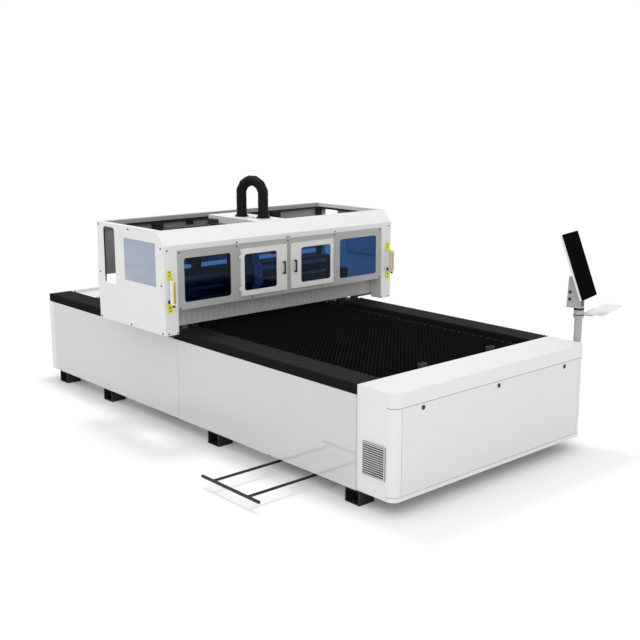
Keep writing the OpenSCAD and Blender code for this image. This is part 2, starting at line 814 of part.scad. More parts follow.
// Inner frame that carries the housing on the end carriages
module inner_frame() {
    y0 = win_y0;
    y1 = house_y1 - sheet;
    top = house_top - 11;
    sy = slope_y;
    color("#2b2f33") place() {
        both() {
            yz([hin - bar, hin]) difference() {
                polygon([[y0, house_z0], [y1, house_z0], [y1, top], [sy, top], [y0, slope_z - 3]]);
                polygon([[y0 + bar, house_z0 + bar], [y1 - bar, house_z0 + bar], [y1 - bar, top - bar],
                    [sy + bar * 0.38, top - bar], [y0 + bar, slope_z - 3 - bar * 0.4]]);
            }
            for (y = [car_y + 20, cross_y1 - 65]) {
                tube_x([frame_out, hin - bar], [y, y + bar], [house_z0, house_z0 + bar], 4);
            }
        }
        tube_x([bar - hin, hin - bar], [win_y1, y0 + bar], [slope_z - bar, slope_z - 3], 4);
        tube_x([bar - hin, hin - bar], [y1 - bar, y1], [top - bar, top], 4);
        both() for (x = [thin_post, wide_post]) {
            tube_z(x, [y1 - bar, y1], [house_top - rear_h, top - bar], 4);
        }
    }
}

// Housing sides with window, slot, roof return and rear tab
module housing_side() {
    sy = house_y1 - 95 - slot_w;
    sz = house_top - 28;
    lip_y = slope_y + 24;
    tab_z = house_z0 + 231;
    yz([hin, hh]) difference() {
        polygon([[house_y, house_z0], [house_y1, house_z0], [house_y1, tab_z], [house_y1 + 17, tab_z],
            [house_y1 + 17, tab_z + 175], [house_y1, tab_z + 199], [house_y1, house_top],
            [slope_y, house_top], [house_y, slope_z]]);
        round_rect([side_win_y, side_win_y + side_win_l], [side_win_z - side_win_h, side_win_z], 8);
        round_rect([sy, sy + slot_w], [sz - slot_h, sz], 28);
    }
    box([roof_in - sheet, hin], [lip_y, house_y1 - sheet - fit], [house_top - sheet, house_top]);
    box([roof_in - sheet, roof_in], [lip_y, roof_y], [house_top - roof_lip, house_top - sheet]);
}
module housing_left() { color("#e3e3e2") place() mirror([1, 0, 0]) housing_side(); }
module housing_right() { color("#e3e3e2") place() housing_side(); }

// Front frame: two posts with inner returns and the band above the windows
module front_frame() {
    color("#dededd") place() {
        xz([house_y, house_y + sheet]) difference() {
            translate([-hin, house_z0]) square([2 * hin, slope_z - house_z0]);
            translate([-open_half, house_z0 - 1]) square([2 * open_half, win_z1 - house_z0 + 1]);
        }
        both() box([open_half, open_half + sheet], [house_y + sheet, curtain_y + 3],
            [house_z0, win_z0 - fit]);
    }
}

// Sloping roof edge in two halves with a centre seam
module slope_panels() {
    t = sheet * 1.34;
    color("#ececeb") place() both() yz([0.5, hin]) {
        polygon([[house_y, slope_z], [slope_y, house_top], [slope_y + 8, house_top],
            [slope_y + 8, house_top - sheet], [slope_y + t - sheet * slope_k, house_top - sheet],
            [house_y + t, slope_z]]);
    }
}

// Rear panel of the housing, upper part only
module housing_rear() {
    x = roof_in - sheet - fit;
    color("#9b9c9c") place() {
        box([-hin, hin], [house_y1 - sheet, house_y1], [house_top - rear_h, house_top]);
        box([-x, x], [roof_y - sheet, house_y1 - sheet], [house_top - sheet, house_top]);
        box([-x, x], [roof_y - sheet, roof_y], [house_top - roof_lip, house_top - sheet]);
    }
}

// Grey window frame with four openings, the curtain shelf and the fixed hinge halves
module window_frame() {
    color("#8e8e8e") place() both() {
        xz([win_y0, win_y1]) difference() {
            translate([0, win_z0]) square([open_half + lap, win_h + 6]);
            round_rect([pane_in, pane_out], [pane_z0, pane_z1], 22);
            round_rect([door_in + 18, door_out - 18], [door_z0 + 18, door_z1 - 18], 12);
        }
        box([0, open_half - 4], [win_y1, curtain_y], [win_z0, win_z0 + 4]);
        box([0, open_half - 4], [curtain_y - 4, curtain_y], [win_z0 + 4, win_z0 + 17]);
        for (z = hinge_z) {
            pin([hinge_x, hinge_y], 3, [z - 30, z + 30]);
            for (a = [-30, 15]) {
                pin([hinge_x, hinge_y], hinge_r, [z + a, z + a + 15]);
                box([hinge_x, hinge_x + 18], [hinge_y + 2, win_y0], [z + a, z + a + 15]);
            }
        }
    }
}

// Fixed window panes behind the grey frame
module fixed_glass() {
    color("#24487e") place() both() {
        box([pane_in - 13, pane_out + 13], [win_y1, win_y1 + pane_t], [pane_z0 - 13, pane_z1 + 13]);
    }
}

// Side window panes inside the housing sides
module side_windows() {
    color("#a4b0c0") place() both() {
        box([hin - pane_t, hin], [side_win_y - 13, side_win_y + side_win_l + 13],
            [side_win_z - side_win_h - 13, side_win_z + 13]);
    }
}

// Splash curtain: a slit strip hung from the shelf behind the window frame
module splash_curtain() {
    half = open_half - 4;
    n = round(2 * half / strip_w);
    p = 2 * half / n;
    color("#757573") place() xz([curtain_y, curtain_y + 3]) difference() {
        translate([-half, win_z0 - curtain_l]) square([2 * half, curtain_l + 17]);
        for (i = [1:n - 1]) translate([i * p - half - 1, win_z0 - curtain_l - 1]) square([2, curtain_l - 5]);
    }
}

// Light guards on the front posts: angled brackets, bars and lenses
module guard_brackets() {
    x = [guard_x - 20, guard_x + 20];
    foot = [house_y - 4, house_y];
    arm = [guard_x - 8, guard_x + 8];
    shelf = [house_y - guard_out, house_y - 4];
    color("#e0e000") place() both() {
        box(x, foot, [guard_z1, guard_z1 + bracket_h]);
        box(arm, shelf, [guard_z1, guard_z1 + 4]);
        box(x, foot, [guard_z0 - bracket_h, guard_z0]);
        box(arm, shelf, [guard_z0 - 4, guard_z0]);
    }
}
module guard_bars() {
    color("#e8e8e8") place() both() {
        box([guard_x - 16, guard_x + 16], [house_y - guard_out + 2, house_y - guard_out + 36],
            [guard_z0, guard_z1]);
    }
}
module guard_lenses() {
    color("#c9a820") place() both() {
        box([guard_x - 9, guard_x + 9], [house_y - guard_out, house_y - guard_out + 2],
            [guard_z0 + 10, guard_z1 - 10]);
    }
}

// Cross carriage plate with the arm and clamp for the energy chain
module x_plate() {
    y = [chain_y - chain_w / 2, chain_y + chain_w / 2];
    arm = [cover_z0 - 7, cover_z0 - 1];
    color("#3b4044") place() {
        box([head_x - plate_w / 2, head_x + plate_w / 2], [plate_y0, plate_y1],
            [cross_z0, cover_z1 - sheet]);
        box([chain_end - 60, cover_x0 + 40], [plate_y1, y[1]], arm);
        box([chain_end - 36, chain_end], y, [arm[1], cover_z0 + 30]);
    }
}

// Bearing blocks of the cross carriage
module x_blocks() {
    color("#7d8489") place() for (x = [head_x - plate_w / 2, head_x + plate_w / 2 - 100]) {
        for (z = xrail_z) difference() {
            box([x, x + 100], [plate_y1, cross_y0 - 6], [z - 32, z + 32]);
            box([x - 1, x + 101], [cross_y0 - xrail_t - gap, cross_y0],
                [z - xrail_w / 2 - gap, z + xrail_w / 2 + gap]);
        }
    }
}

// Fixed part of the lifting axis
module z_axis() {
    color("#33383c") place() {
        box([head_x - zax_w / 2, head_x + zax_w / 2], [zax_y0, plate_y0], [nozzle_z + zax_lift, zax_z1]);
        translate([head_x, zax_y0 + zmotor_in, zax_z1]) {
            box([-zmotor_w / 2, zmotor_w / 2], [0, zmotor_w], [0, zmotor_h]);
        }
    }
}

// White cover over the cross carriage, open below
module hose_ends() {
    for (s = [-1, 1]) rotate([0, 0, hose_turn]) translate([s * hose_bend, 0, 0]) children();
}
module cover_box() {
    color("#ededec") place() difference() {
        box([cover_x0, cover_x0 + cover_w], [cover_y0, cover_y1], [cover_z0, cover_z1]);
        box([cover_x0 + sheet, cover_x0 + cover_w - sheet], [cover_y0 + sheet, cover_y1 - sheet],
            [cover_z0 - 1, cover_z1 - sheet]);
        translate([hose_x, hose_y, cover_z1 - sheet - 1]) {
            hose_ends() cylinder(r = hose_r - 8, h = sheet + 2);
        }
    }
}

// Ribbed extraction hose in a loop over the cover
module hose_loop() {
    rib = 16;
    base = cover_z1 + 8;
    n = floor((hose_leg - 8) / rib);
    h = (hose_leg - 8) / n;
    wave = [for (i = [0:2 * n]) [i % 2 == 0 ? hose_r - 6 : hose_r, i * h / 2]];
    a = 180 / round(180 * hose_bend * PI / 180 / rib);
    color("#1b1b1b") place() translate([hose_x, hose_y, 0]) {
        hose_ends() {
            translate([0, 0, cover_z1]) cylinder(r = hose_r + 14, h = 8);
            translate([0, 0, base]) rotate_extrude() polygon(concat([[0, 0]], wave, [[0, hose_leg - 8]]));
        }
        translate([0, 0, cover_z1 + hose_leg]) rotate([0, 0, hose_turn]) rotate([90, 0, 0]) {
            rotate_extrude(angle = 180) translate([hose_bend, 0]) circle(hose_r - 5);
            for (t = [a / 2:a:180]) rotate([0, 0, t - 2]) rotate_extrude(angle = 4) {
                translate([hose_bend, 0]) circle(hose_r);
            }
        }
    }
}

// Energy chain: links along the tray, round the bend and back to the carriage
module x_chain() {
    z0 = chain_z + gap;
    z1 = z0 + link_h;
    top0 = chain_z + 2 * chain_r + gap;
    mid = (z0 + top0 + link_h) / 2;
    ro = (top0 + link_h - z0) / 2;
    y = [chain_y - chain_w / 2, chain_y + chain_w / 2];
    core = [y[0] + 4, y[1] - 4];
    n0 = floor((chain_fix - chain_bend) / link_p);
    n1 = floor((chain_end - chain_bend) / link_p);
    color("#161616") place() {
        box([chain_bend, chain_fix], core, [z0 + 4, z1 - 4]);
        box([chain_bend, chain_end], core, [top0 + 4, top0 + link_h - 4]);
        for (i = [0:n0 - 1]) {
            x = chain_bend + i * link_p;
            box([x + 2, x + link_p - 2], y, [z0, z1]);
        }
        for (i = [0:n1 - 1]) {
            x = chain_bend + i * link_p;
            box([x + 2, x + link_p - 2], y, [top0, top0 + link_h]);
        }
        xz(core) intersection() {
            difference() {
                translate([chain_bend, mid]) circle(ro - 4);
                translate([chain_bend, mid]) circle(ro - link_h + 4);
            }
            translate([chain_bend - ro, mid - ro]) square([ro, 2 * ro]);
        }
        for (t = [15:30:165]) xz(y) translate([chain_bend, mid]) rotate(90 + t - 13) intersection() {
            difference() {
                circle(ro);
                circle(ro - link_h);
            }
            polygon([[0, 0], [2 * ro, 0], [2 * ro * cos(26), 2 * ro * sin(26)]]);
        }
    }
}

// Cutting head: slide, body, collimator, lower barrel and nozzle
module cutting_head() {
    n = [nozzle_z, nozzle_z];
    x = [head_x, head_x];
    back = zax_y0 - gap;
    color("#8a9297") place() {
        box(x + [-slide_w, slide_w] / 2, [back - slide_t, back], n + slide_z);
        box(x + [-body_w, body_w] / 2, [head_y - 43, back - slide_t], n + body_z);
        pin([head_x, head_y], 34, n + lens_z);
        pin([head_x, head_y], 24, n + plug_z);
        pin([head_x, head_y], 36, n + barrel_z);
        pin([head_x, head_y], 26, n + neck_z);
        translate([head_x, head_y, nozzle_z]) cylinder(r1 = 5, r2 = 18, h = neck_z[0]);
    }
}

// Doors: folded trays with a window and the moving hinge halves
module door_leaf() {
    difference() {
        union() {
            box([door_in, door_out], [door_y0, door_y0 + sheet], [door_z0, door_z1]);
            tube_y([door_in, door_out], [door_y0 + sheet, door_y1], [door_z0, door_z1], sheet);
            for (z = hinge_z) {
                pin([hinge_x, hinge_y], hinge_r, [z - 15 + gap, z + 15 - gap]);
                box([door_out, hinge_x], [hinge_y - hinge_r, hinge_y - 1], [z - 15 + gap, z + 15 - gap]);
            }
        }
        xz([door_y0 - 1, door_y0 + sheet + 1]) {
            round_rect([dwin_in, dwin_out], [dwin_z0, dwin_z1], 22);
        }
        for (z = hinge_z) pin([hinge_x, hinge_y], 3 + gap, [z - 16, z + 16]);
    }
}
module door_pane() {
    box([dwin_in - 10, dwin_out + 10], [door_y0 + sheet, door_y0 + sheet + pane_t],
        [dwin_z0 - 10, dwin_z1 + 10]);
}
module door_pull() {
    difference() {
        box([pull_x - 6, pull_x + 6], [door_y0 - 25, door_y0], [pull_z - pull_l / 2, pull_z + pull_l / 2]);
        box([pull_x - 7, pull_x + 7], [door_y0 - 16, door_y0 + 1],
            [pull_z - pull_l / 2 + 13, pull_z + pull_l / 2 - 13]);
    }
}
module left_door() { color("#e0e0df") place() mirror([1, 0, 0]) door_leaf(); }
module left_door_glass() { color("#24487e") place() mirror([1, 0, 0]) door_pane(); }
module left_handle() { color("#141619") place() mirror([1, 0, 0]) door_pull(); }
module right_door() { color("#e0e0df") place() door_leaf(); }
module right_door_glass() { color("#24487e") place() door_pane(); }
module right_handle() { color("#141619") place() door_pull(); }

// Console head: hub on the pole, tray arm, fork and bolts
module console() { place() translate([pole_x, pole_y, 0]) rotate([0, 0, con_yaw]) children(); }
module swivel_bracket() {
    hub_top = pole_top + 22;
    foot = hub_top - 12;
    ear = [[piv_y + ear_front, foot], [piv_y + 14, piv_z + ear_rise], [piv_y - 25, piv_z + ear_rise],
        [piv_y - ear_back, piv_z - 6], [piv_y - ear_back, foot]];
    color("#a9abac") console() difference() {
        union() {
            pin([0, 0], hub_r, [collar_z + gap, hub_top]);
            box([0, arm_l], [tray_y1 - arm_in, tray_y1 + 20], [arm_z, arm_z + 9]);
            for (s = [-1, 1]) yz([s * (ear_in + 4) - 4, s * (ear_in + 4) + 4]) polygon(ear);
            box([-ear_in - 8, ear_in + 8], [piv_y - ear_back, piv_y + ear_front], [foot, hub_top]);
            for (z = [piv_z - 52, piv_z]) {
                translate([0, piv_y, z]) rotate([0, 90, 0]) {
                    cylinder(r = piv_r, h = 2 * ear_in + 28, center = true);
                    for (s = [-1, 1]) translate([0, 0, s * (ear_in + 11) - 3]) cylinder(r = 9, h = 6);
                }
            }
        }
        pin([0, 0], pole_r + gap, [collar_z - 1, pole_top + gap]);
    }
}

// Keyboard tray beside the pole
module keyboard_tray() {
    color("#e9e9e8") console() translate([0, 0, arm_z + 9]) linear_extrude(tray_t) {
        round_rect([0, tray_w], [tray_y1 - tray_d, tray_y1], tray_r);
    }
}

// Monitor: white case with a lug between the fork ears, black screen in front
module tilted() { console() translate([0, piv_y, piv_z]) rotate([-mon_tilt, 0, 0]) children(); }
module monitor_case() {
    color("#e6e6e6") tilted() difference() {
        union() {
            xz([mon_back - 15, mon_back]) round_rect([-mon_w / 2, mon_w / 2], [mon_v0, mon_v0 + mon_h], 10);
            box([gap - ear_in, ear_in - gap], [mon_back, 0], [-16, 16]);
            translate([gap - ear_in, 0, 0]) rotate([0, 90, 0]) cylinder(r = 16, h = 2 * (ear_in - gap));
        }
        translate([-ear_in, 0, 0]) rotate([0, 90, 0]) cylinder(r = piv_r + gap, h = 2 * ear_in);
    }
}
module monitor_screen() {
    color("#141414") tilted() difference() {
        xz([mon_back - mon_t, mon_back - 15]) {
            round_rect([-mon_w / 2, mon_w / 2], [mon_v0, mon_v0 + mon_h], 10);
        }
        xz([mon_back - mon_t - 1, mon_back - mon_t + 2]) {
            round_rect([12 - mon_w / 2, mon_w / 2 - 12], [mon_v0 + 14, mon_v0 + mon_h - 14], 4);
        }
    }
}

// Slag tray with flanges on the runners
module slag_tray() {
    x1 = slag_x0 + slag_l;
    color("#5d6468") place() {
        difference() {
            box([slag_x0, x1], [slag_y, slag_y1], [slag_z0, slag_top]);
            box([slag_x0 + sheet, x1 - sheet], [slag_y + sheet, slag_y1 - sheet],
                [slag_z0 + sheet, slag_top + 1]);
        }
        for (y = [slag_y - 18, slag_y1]) box([slag_x0, x1], [y, y + 18], [slag_top - 4 + gap, slag_top]);
    }
}

// Pull handle of the slag tray: crossbar and two rods
module drawer_handle() {
    color("#1c2124") place() {
        translate([bar_x, bar_mid - pull_w / 2, rod_z]) rotate([-90, 0, 0]) cylinder(r = rod_r, h = pull_w);
        for (s = [-1, 1]) {
            translate([bar_x, bar_mid + s * rod_gap / 2, rod_z]) rotate([0, 90, 0]) {
                cylinder(r = rod_r - 1.5, h = pull_reach);
            }
        }
    }
}

bed_frame();
feet();
guide_rails();
slat_frame();
slats();
left_panels();
right_panels();
rear_cover();
rear_deck();
cabinet_shell();
corner_covers();
access_panel();
vent_grille();
console_pole();
drawer_runners();
bellows_left_front();
bellows_left_rear();
bellows_right_front();
bellows_right_rear();
cam_lock_left();
cam_lock_mid();
cam_lock_right();
end_carriages();
rail_blocks();
crossbeam();
x_rails();
drive_motors();
chain_tray();
inner_frame();
housing_left();
housing_right();
front_frame();
slope_panels();
housing_rear();
window_frame();
fixed_glass();
side_windows();
splash_curtain();
guard_brackets();
guard_bars();
guard_lenses();
x_plate();
x_blocks();
z_axis();
cover_box();
hose_loop();
x_chain();
cutting_head();
left_door();
left_door_glass();
left_handle();
right_door();
right_door_glass();
right_handle();
swivel_bracket();
keyboard_tray();
monitor_case();
monitor_screen();
slag_tray();
drawer_handle();
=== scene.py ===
"""Looks of a flatbed laser cutting machine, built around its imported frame.

The frame gives every solid piece at its real place. This script paints those pieces and adds what
a solid model leaves plain: pleated bellows, fine slat teeth, ribbed hose, chain links, curtain strips
and small fasteners. All lengths are metres in the frame's own axes.
"""
import math

import bmesh
import bpy
import numpy as np
from bpy.props import FloatProperty, FloatVectorProperty, PointerProperty
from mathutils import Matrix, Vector


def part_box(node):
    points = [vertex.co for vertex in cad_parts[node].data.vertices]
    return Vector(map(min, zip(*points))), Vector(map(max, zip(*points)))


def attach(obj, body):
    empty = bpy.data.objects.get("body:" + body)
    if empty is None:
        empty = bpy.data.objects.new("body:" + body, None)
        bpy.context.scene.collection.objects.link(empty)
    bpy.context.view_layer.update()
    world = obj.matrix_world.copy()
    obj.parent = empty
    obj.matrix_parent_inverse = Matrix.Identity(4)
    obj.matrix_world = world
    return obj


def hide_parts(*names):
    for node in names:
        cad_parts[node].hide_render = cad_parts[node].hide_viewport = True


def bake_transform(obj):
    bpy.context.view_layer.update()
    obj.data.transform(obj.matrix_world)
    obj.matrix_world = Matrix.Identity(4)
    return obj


bl_info = {
    "name": "Flatbed laser cutter looks",
    "version": (1, 0, 0),
    "blender": (4, 5, 0),
    "location": "View3D > Sidebar > Cutter",
    "description": "Finishes and fine pieces of a flatbed laser cutting machine",
    "category": "Object",
}

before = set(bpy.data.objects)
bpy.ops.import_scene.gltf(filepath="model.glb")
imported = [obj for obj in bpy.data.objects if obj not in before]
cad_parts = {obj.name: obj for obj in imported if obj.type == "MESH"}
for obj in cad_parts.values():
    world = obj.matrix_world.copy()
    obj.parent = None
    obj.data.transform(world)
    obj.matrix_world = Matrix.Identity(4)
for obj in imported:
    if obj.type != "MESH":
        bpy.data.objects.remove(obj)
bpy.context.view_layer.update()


def colour(name, default, description):
    """A colour property in linear RGB."""
    return FloatVectorProperty(name=name, description=description, default=default,
                               subtype="COLOR", size=3, min=0.0, max=1.0)


def length(name, default, description):
    """A length property in metres."""
    return FloatProperty(name=name, description=description, default=default, unit="LENGTH")


class CutterSizes(bpy.types.PropertyGroup):
    """Sizes of the fine pieces"""

    pleat_pitch: length("Pleat pitch", 0.025, "Length of one pleat of the bellows")
    pleat_side: length("Side pleat depth", 0.012, "Depth of the pleats on the bellows' sides")
    pleat_top: length("Top pleat depth", 0.004, "Depth of the pleats on the bellows' top")
    cloth: length("Bellows cloth", 0.0015, "Thickness of the bellows' cloth")
    slat_pitch: length("Slat pitch", 0.070, "Distance from one slat to the next")
    slat_t: length("Slat thickness", 0.005, "Thickness of one slat")
    tooth_pitch: length("Tooth pitch", 0.037, "Distance from one slat tooth to the next")
    tooth_d: length("Tooth depth", 0.026, "Depth of the slat teeth")
    rib_pitch: length("Rib pitch", 0.0115, "Distance between two ribs of the hose")
    rib_d: length("Rib depth", 0.0012, "Depth of the hose's ribs")
    groove_pitch: length("Groove pitch", 0.077, "Distance between two deep grooves of the hose")
    groove_d: length("Groove depth", 0.0018, "Depth of the hose's deep grooves")
    screw_r: length("Screw head", 0.0075, "Radius of a housing screw's head")
    strip_w: length("Curtain strip", 0.0495, "Width of one strip of the splash curtain")
    link_pitch: length("Chain link", 0.058, "Length of one energy chain link")


class CutterColours(bpy.types.PropertyGroup):
    """Colours of the finishes"""

    white: colour("White coat", (0.80, 0.80, 0.79), "Powder coat of cabinet and housing")
    panel: colour("Side panels", (0.62, 0.605, 0.61), "Enamel of the bed's side panels")
    grey: colour("Window frame", (0.43, 0.43, 0.428), "Window frame")
    cloth: colour("Bellows", (0.009, 0.009, 0.009), "Coated cloth of the bellows")
    slat: colour("Slats", (0.0045, 0.0045, 0.0045), "Scorched slats")
    glass: colour("Blue glass", (0.085, 0.27, 0.68), "Laser safety glass of doors and windows")
    side_glass: colour("Side glass", (0.56, 0.64, 0.76), "Paler glass of the side windows")
    yellow: colour("Brackets", (0.75, 0.74, 0.0), "Signal yellow of the guard brackets")
    amber: colour("Lenses", (0.60, 0.40, 0.02), "Amber lenses of the light guards")


def sizes():
    """The sizes set in the sidebar."""
    return bpy.context.scene.cutter_sizes


def colours():
    """The colours set in the sidebar."""
    return bpy.context.scene.cutter_colours


# Surfaces: a shape is its corners and blocks of faces with equal numbers of sides

def grid_quads(rows, columns, wrap):
    """Quads between neighbouring corners of a grid; wrap joins the last column to the first."""
    i, j = np.meshgrid(np.arange(rows - 1), np.arange(columns if wrap else columns - 1), indexing="ij")
    k = (j + 1) % columns
    corners = [i * columns + j, (i + 1) * columns + j, (i + 1) * columns + k, i * columns + k]
    return np.stack(corners, -1).reshape(-1, 4)


def swept(rings):
    """Closed solid from rings (rows, columns, 3): each ring joins the next, a flat face closes each end."""
    rows, columns = rings.shape[:2]
    ends = np.array([np.arange(columns), np.arange(columns) + (rows - 1) * columns])
    return rings.reshape(-1, 3), [grid_quads(rows, columns, True), ends]


def turned(profile, segments):
    """Solid of revolution about Z: each profile point (radius, height) becomes a circle."""
    angle = np.linspace(0, 2 * np.pi, segments, endpoint=False)
    radius, height = np.array(profile, float).T
    x = radius[:, None] * np.cos(angle)
    y = radius[:, None] * np.sin(angle)
    return swept(np.stack([x, y, np.repeat(height[:, None], segments, 1)], -1))


def hooped(profile, segments):
    """Ring about Z: each point (radius, height) of a closed profile becomes a circle."""
    corners, blocks = turned([*profile, profile[0]], segments)
    count = len(corners) - segments
    return corners[:count], [blocks[0] % count]


def aimed(shape, direction):
    """The shape with its Z axis turned to a direction."""
    turn = np.array(Vector((0, 0, 1)).rotation_difference(Vector(direction)).to_matrix())
    return shape[0] @ turn.T, shape[1]


def copies(shape, places):
    """One shape set down at many places, as one set of corners and faces."""
    corners, blocks = shape
    places = np.array(places, float).reshape(-1, 3)
    step = np.arange(len(places))[:, None, None] * len(corners)
    moved = (corners[None] + places[:, None]).reshape(-1, 3)
    return moved, [(block[None] + step).reshape(-1, block.shape[1]) for block in blocks]


def joined(*shapes):
    """Several shapes as one set of corners and faces."""
    starts = np.cumsum([0] + [len(shape[0]) for shape in shapes])
    blocks = [block + start for shape, start in zip(shapes, starts) for block in shape[1]]
    return np.concatenate([shape[0] for shape in shapes]), blocks


def zigzag(count, flat):
    """Row of equal folds with flat ridges: each place as a share of the row, and how far it falls.

    The fall is |1 - 2t| over each fold t, 1 in the valleys and near 0 on the ridge, whose flat part
    takes up the given share of the fold.
    """
    stops = np.array([0.0, 0.5 - flat / 2, 0.5 + flat / 2])
    along = np.append((np.arange(count)[:, None] + stops).ravel(), count)
    return along / count, np.clip(np.abs(1 - 2 * (along % 1)) * (1 + flat) - flat, 0, 1)


def make_piece(name, shape, finish, smooth=35.0):
    """Mesh object at the origin from a shape, faces outwards, smooth below an angle."""
    mesh = bpy.data.meshes.new(name)
    faces = [face for block in shape[1] for face in block.tolist()]
    mesh.from_pydata(shape[0].tolist(), [], faces)
    work = bmesh.new()
    work.from_mesh(mesh)
    bmesh.ops.recalc_face_normals(work, faces=work.faces)
    work.to_mesh(mesh)
    work.free()
    mesh.polygons.foreach_set("use_smooth", np.ones(len(mesh.polygons), bool))
    mesh.set_sharp_from_angle(angle=math.radians(smooth))
    mesh.materials.append(bpy.data.materials[finish])
    piece = bpy.data.objects.new(name, mesh)
    bpy.context.scene.collection.objects.link(piece)
    return piece


def follow(piece):
    """Bakes the piece's placement into its mesh."""
    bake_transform(piece)


# Shader groups

def add_node(tree, kind, inputs=None, **settings):
    """Adds a shader node, sets its properties, and sets or links each named input."""
    node = tree.nodes.new("ShaderNode" + kind)
    for key, value in settings.items():
        setattr(node, key, value)
    for key, value in (inputs or {}).items():
        if isinstance(value, bpy.types.NodeSocket):
            tree.links.new(value, node.inputs[key])
        else:
            node.inputs[key].default_value = value
    return node


def maths(tree, operation, *values):
    """Math node; each value is a number or a socket."""
    return add_node(tree, "Math", dict(enumerate(values)), operation=operation).outputs[0]


def spread(tree, value, low, high):
    """Maps a value from 0..1 to low..high; low and high are numbers or sockets."""
    return add_node(tree, "MapRange", {"Value": value, "To Min": low, "To Max": high}).outputs["Result"]


def scaled_colour(tree, tint, factor):
    """A colour times a factor."""
    return add_node(tree, "VectorMath", {0: tint, "Scale": factor}, operation="SCALE").outputs["Vector"]


def object_place(tree):
    """Place in the object's own axes."""
    return add_node(tree, "TexCoord").outputs["Object"]


def effect_group(name, inputs, outputs, build):
    """Shader node group with named sockets; build(tree, entry) returns one socket per output."""
    tree = bpy.data.node_groups.new(name, "ShaderNodeTree")
    for label, kind, default in inputs:
        socket = tree.interface.new_socket(label, in_out="INPUT", socket_type="NodeSocket" + kind)
        socket.default_value = default
    for label, kind in outputs:
        tree.interface.new_socket(label, in_out="OUTPUT", socket_type="NodeSocket" + kind)
    entry = tree.nodes.new("NodeGroupInput")
    leave = tree.nodes.new("NodeGroupOutput")
    for (label, _kind), socket in zip(outputs, build(tree, entry.outputs)):
        tree.links.new(socket, leave.inputs[label])


FINISH_OUT = (("Color", "Color"), ("Roughness", "Float"), ("Height", "Float"))


def build_coat(tree, entry):
    """Sprayed coat: broad cloudy shade, orange peel in the height, rubbed patches in the roughness."""
    place = object_place(tree)
    cloud = add_node(tree, "TexNoise", {"Vector": place, "Scale": 2.3, "Detail": 4.0}).outputs["Fac"]
    peel = add_node(tree, "TexNoise", {"Vector": place, "Scale": entry["Peel"], "Detail": 2.0}).outputs["Fac"]
    rub = add_node(tree, "TexNoise", {"Vector": place, "Scale": 9.0, "Detail": 6.0}).outputs["Fac"]
    low = maths(tree, "SUBTRACT", 1.0, entry["Mottle"])
    high = maths(tree, "ADD", 1.0, entry["Mottle"])
    shade = spread(tree, cloud, low, high)
    worn = spread(tree, rub, -0.07, 0.07)
    return scaled_colour(tree, entry["Tint"], shade), maths(tree, "ADD", entry["Rough"], worn), peel


def build_brush(tree, entry):
    """Ground metal: noise drawn out along one axis gives the grinding lines."""
    place = add_node(tree, "VectorMath", {0: object_place(tree), 1: entry["Stretch"]}, operation="MULTIPLY")
    lines = add_node(tree, "TexNoise", {"Vector": place.outputs[0], "Scale": 1.0,
                                        "Detail": 5.0}).outputs["Fac"]
    low = maths(tree, "SUBTRACT", 1.0, entry["Contrast"])
    high = maths(tree, "ADD", 1.0, entry["Contrast"])
    rough = spread(tree, lines, -0.1, 0.1)
    return (scaled_colour(tree, entry["Tint"], spread(tree, lines, low, high)),
            maths(tree, "ADD", entry["Rough"], rough), lines)


def build_weave(tree, entry):
    """Coated cloth: two crossed rows of threads, with dust that fades the colour in patches."""
    place = object_place(tree)
    rows = [add_node(tree, "TexWave", {"Vector": place, "Scale": entry["Threads"], "Distortion": 0.4},
                     bands_direction=axis).outputs["Fac"] for axis in "XYZ"]
    threads = maths(tree, "MULTIPLY", maths(tree, "MAXIMUM", rows[0], rows[2]), rows[1])
    dust = add_node(tree, "TexNoise", {"Vector": place, "Scale": 14.0, "Detail": 6.0}).outputs["Fac"]
    shade = maths(tree, "ADD", spread(tree, threads, 0.8, 1.15), spread(tree, dust, -0.2, 0.35))
    return scaled_colour(tree, entry["Tint"], shade), spread(tree, dust, 0.55, 0.8), threads


def build_scorch(tree, entry):
    """Burnt steel: dark scale below, and brown and grey spatter that gathers towards the tips."""
    place = object_place(tree)
    height = add_node(tree, "SeparateXYZ", {0: place}).outputs["Z"]
    near = add_node(tree, "MapRange", {"Value": height, "From Min": entry["Low"], "From Max": entry["High"]})
    scale = add_node(tree, "TexNoise", {"Vector": place, "Scale": 60.0, "Detail": 6.0}).outputs["Fac"]
    spatter = maths(tree, "MULTIPLY", near.outputs["Result"], spread(tree, scale, -0.4, 1.2))
    mask = maths(tree, "MAXIMUM", maths(tree, "MINIMUM", spatter, 1.0), 0.0)
    mix = add_node(tree, "Mix", {0: mask, 6: entry["Tint"], 7: entry["Spatter"]}, data_type="RGBA")
    return mix.outputs[2], spread(tree, scale, 0.4, 0.75), scale


def build_louvre(tree, entry):
    """Grille: coat on the louvres' outer edges, and painted shade that darkens the colour with the depth
    behind them; dust noise breaks the shade's edge.
    """
    place = object_place(tree)
    x = add_node(tree, "SeparateXYZ", {0: place}).outputs["X"]
    depth = maths(tree, "DIVIDE", maths(tree, "SUBTRACT", x, entry["Edge"]), entry["Depth"])
    dust = add_node(tree, "TexNoise", {"Vector": place, "Scale": 45.0, "Detail": 5.0}).outputs["Fac"]
    # painted shade: the tint falls to 6 % of itself over the given depth behind the louvres' outer edge
    deep = add_node(tree, "MapRange", {"Value": maths(tree, "ADD", depth, spread(tree, dust, -0.1, 0.1)),
                                       "To Min": 1.0, "To Max": 0.06}).outputs["Result"]
    return scaled_colour(tree, entry["Tint"], deep), spread(tree, dust, 0.35, 0.5), dust


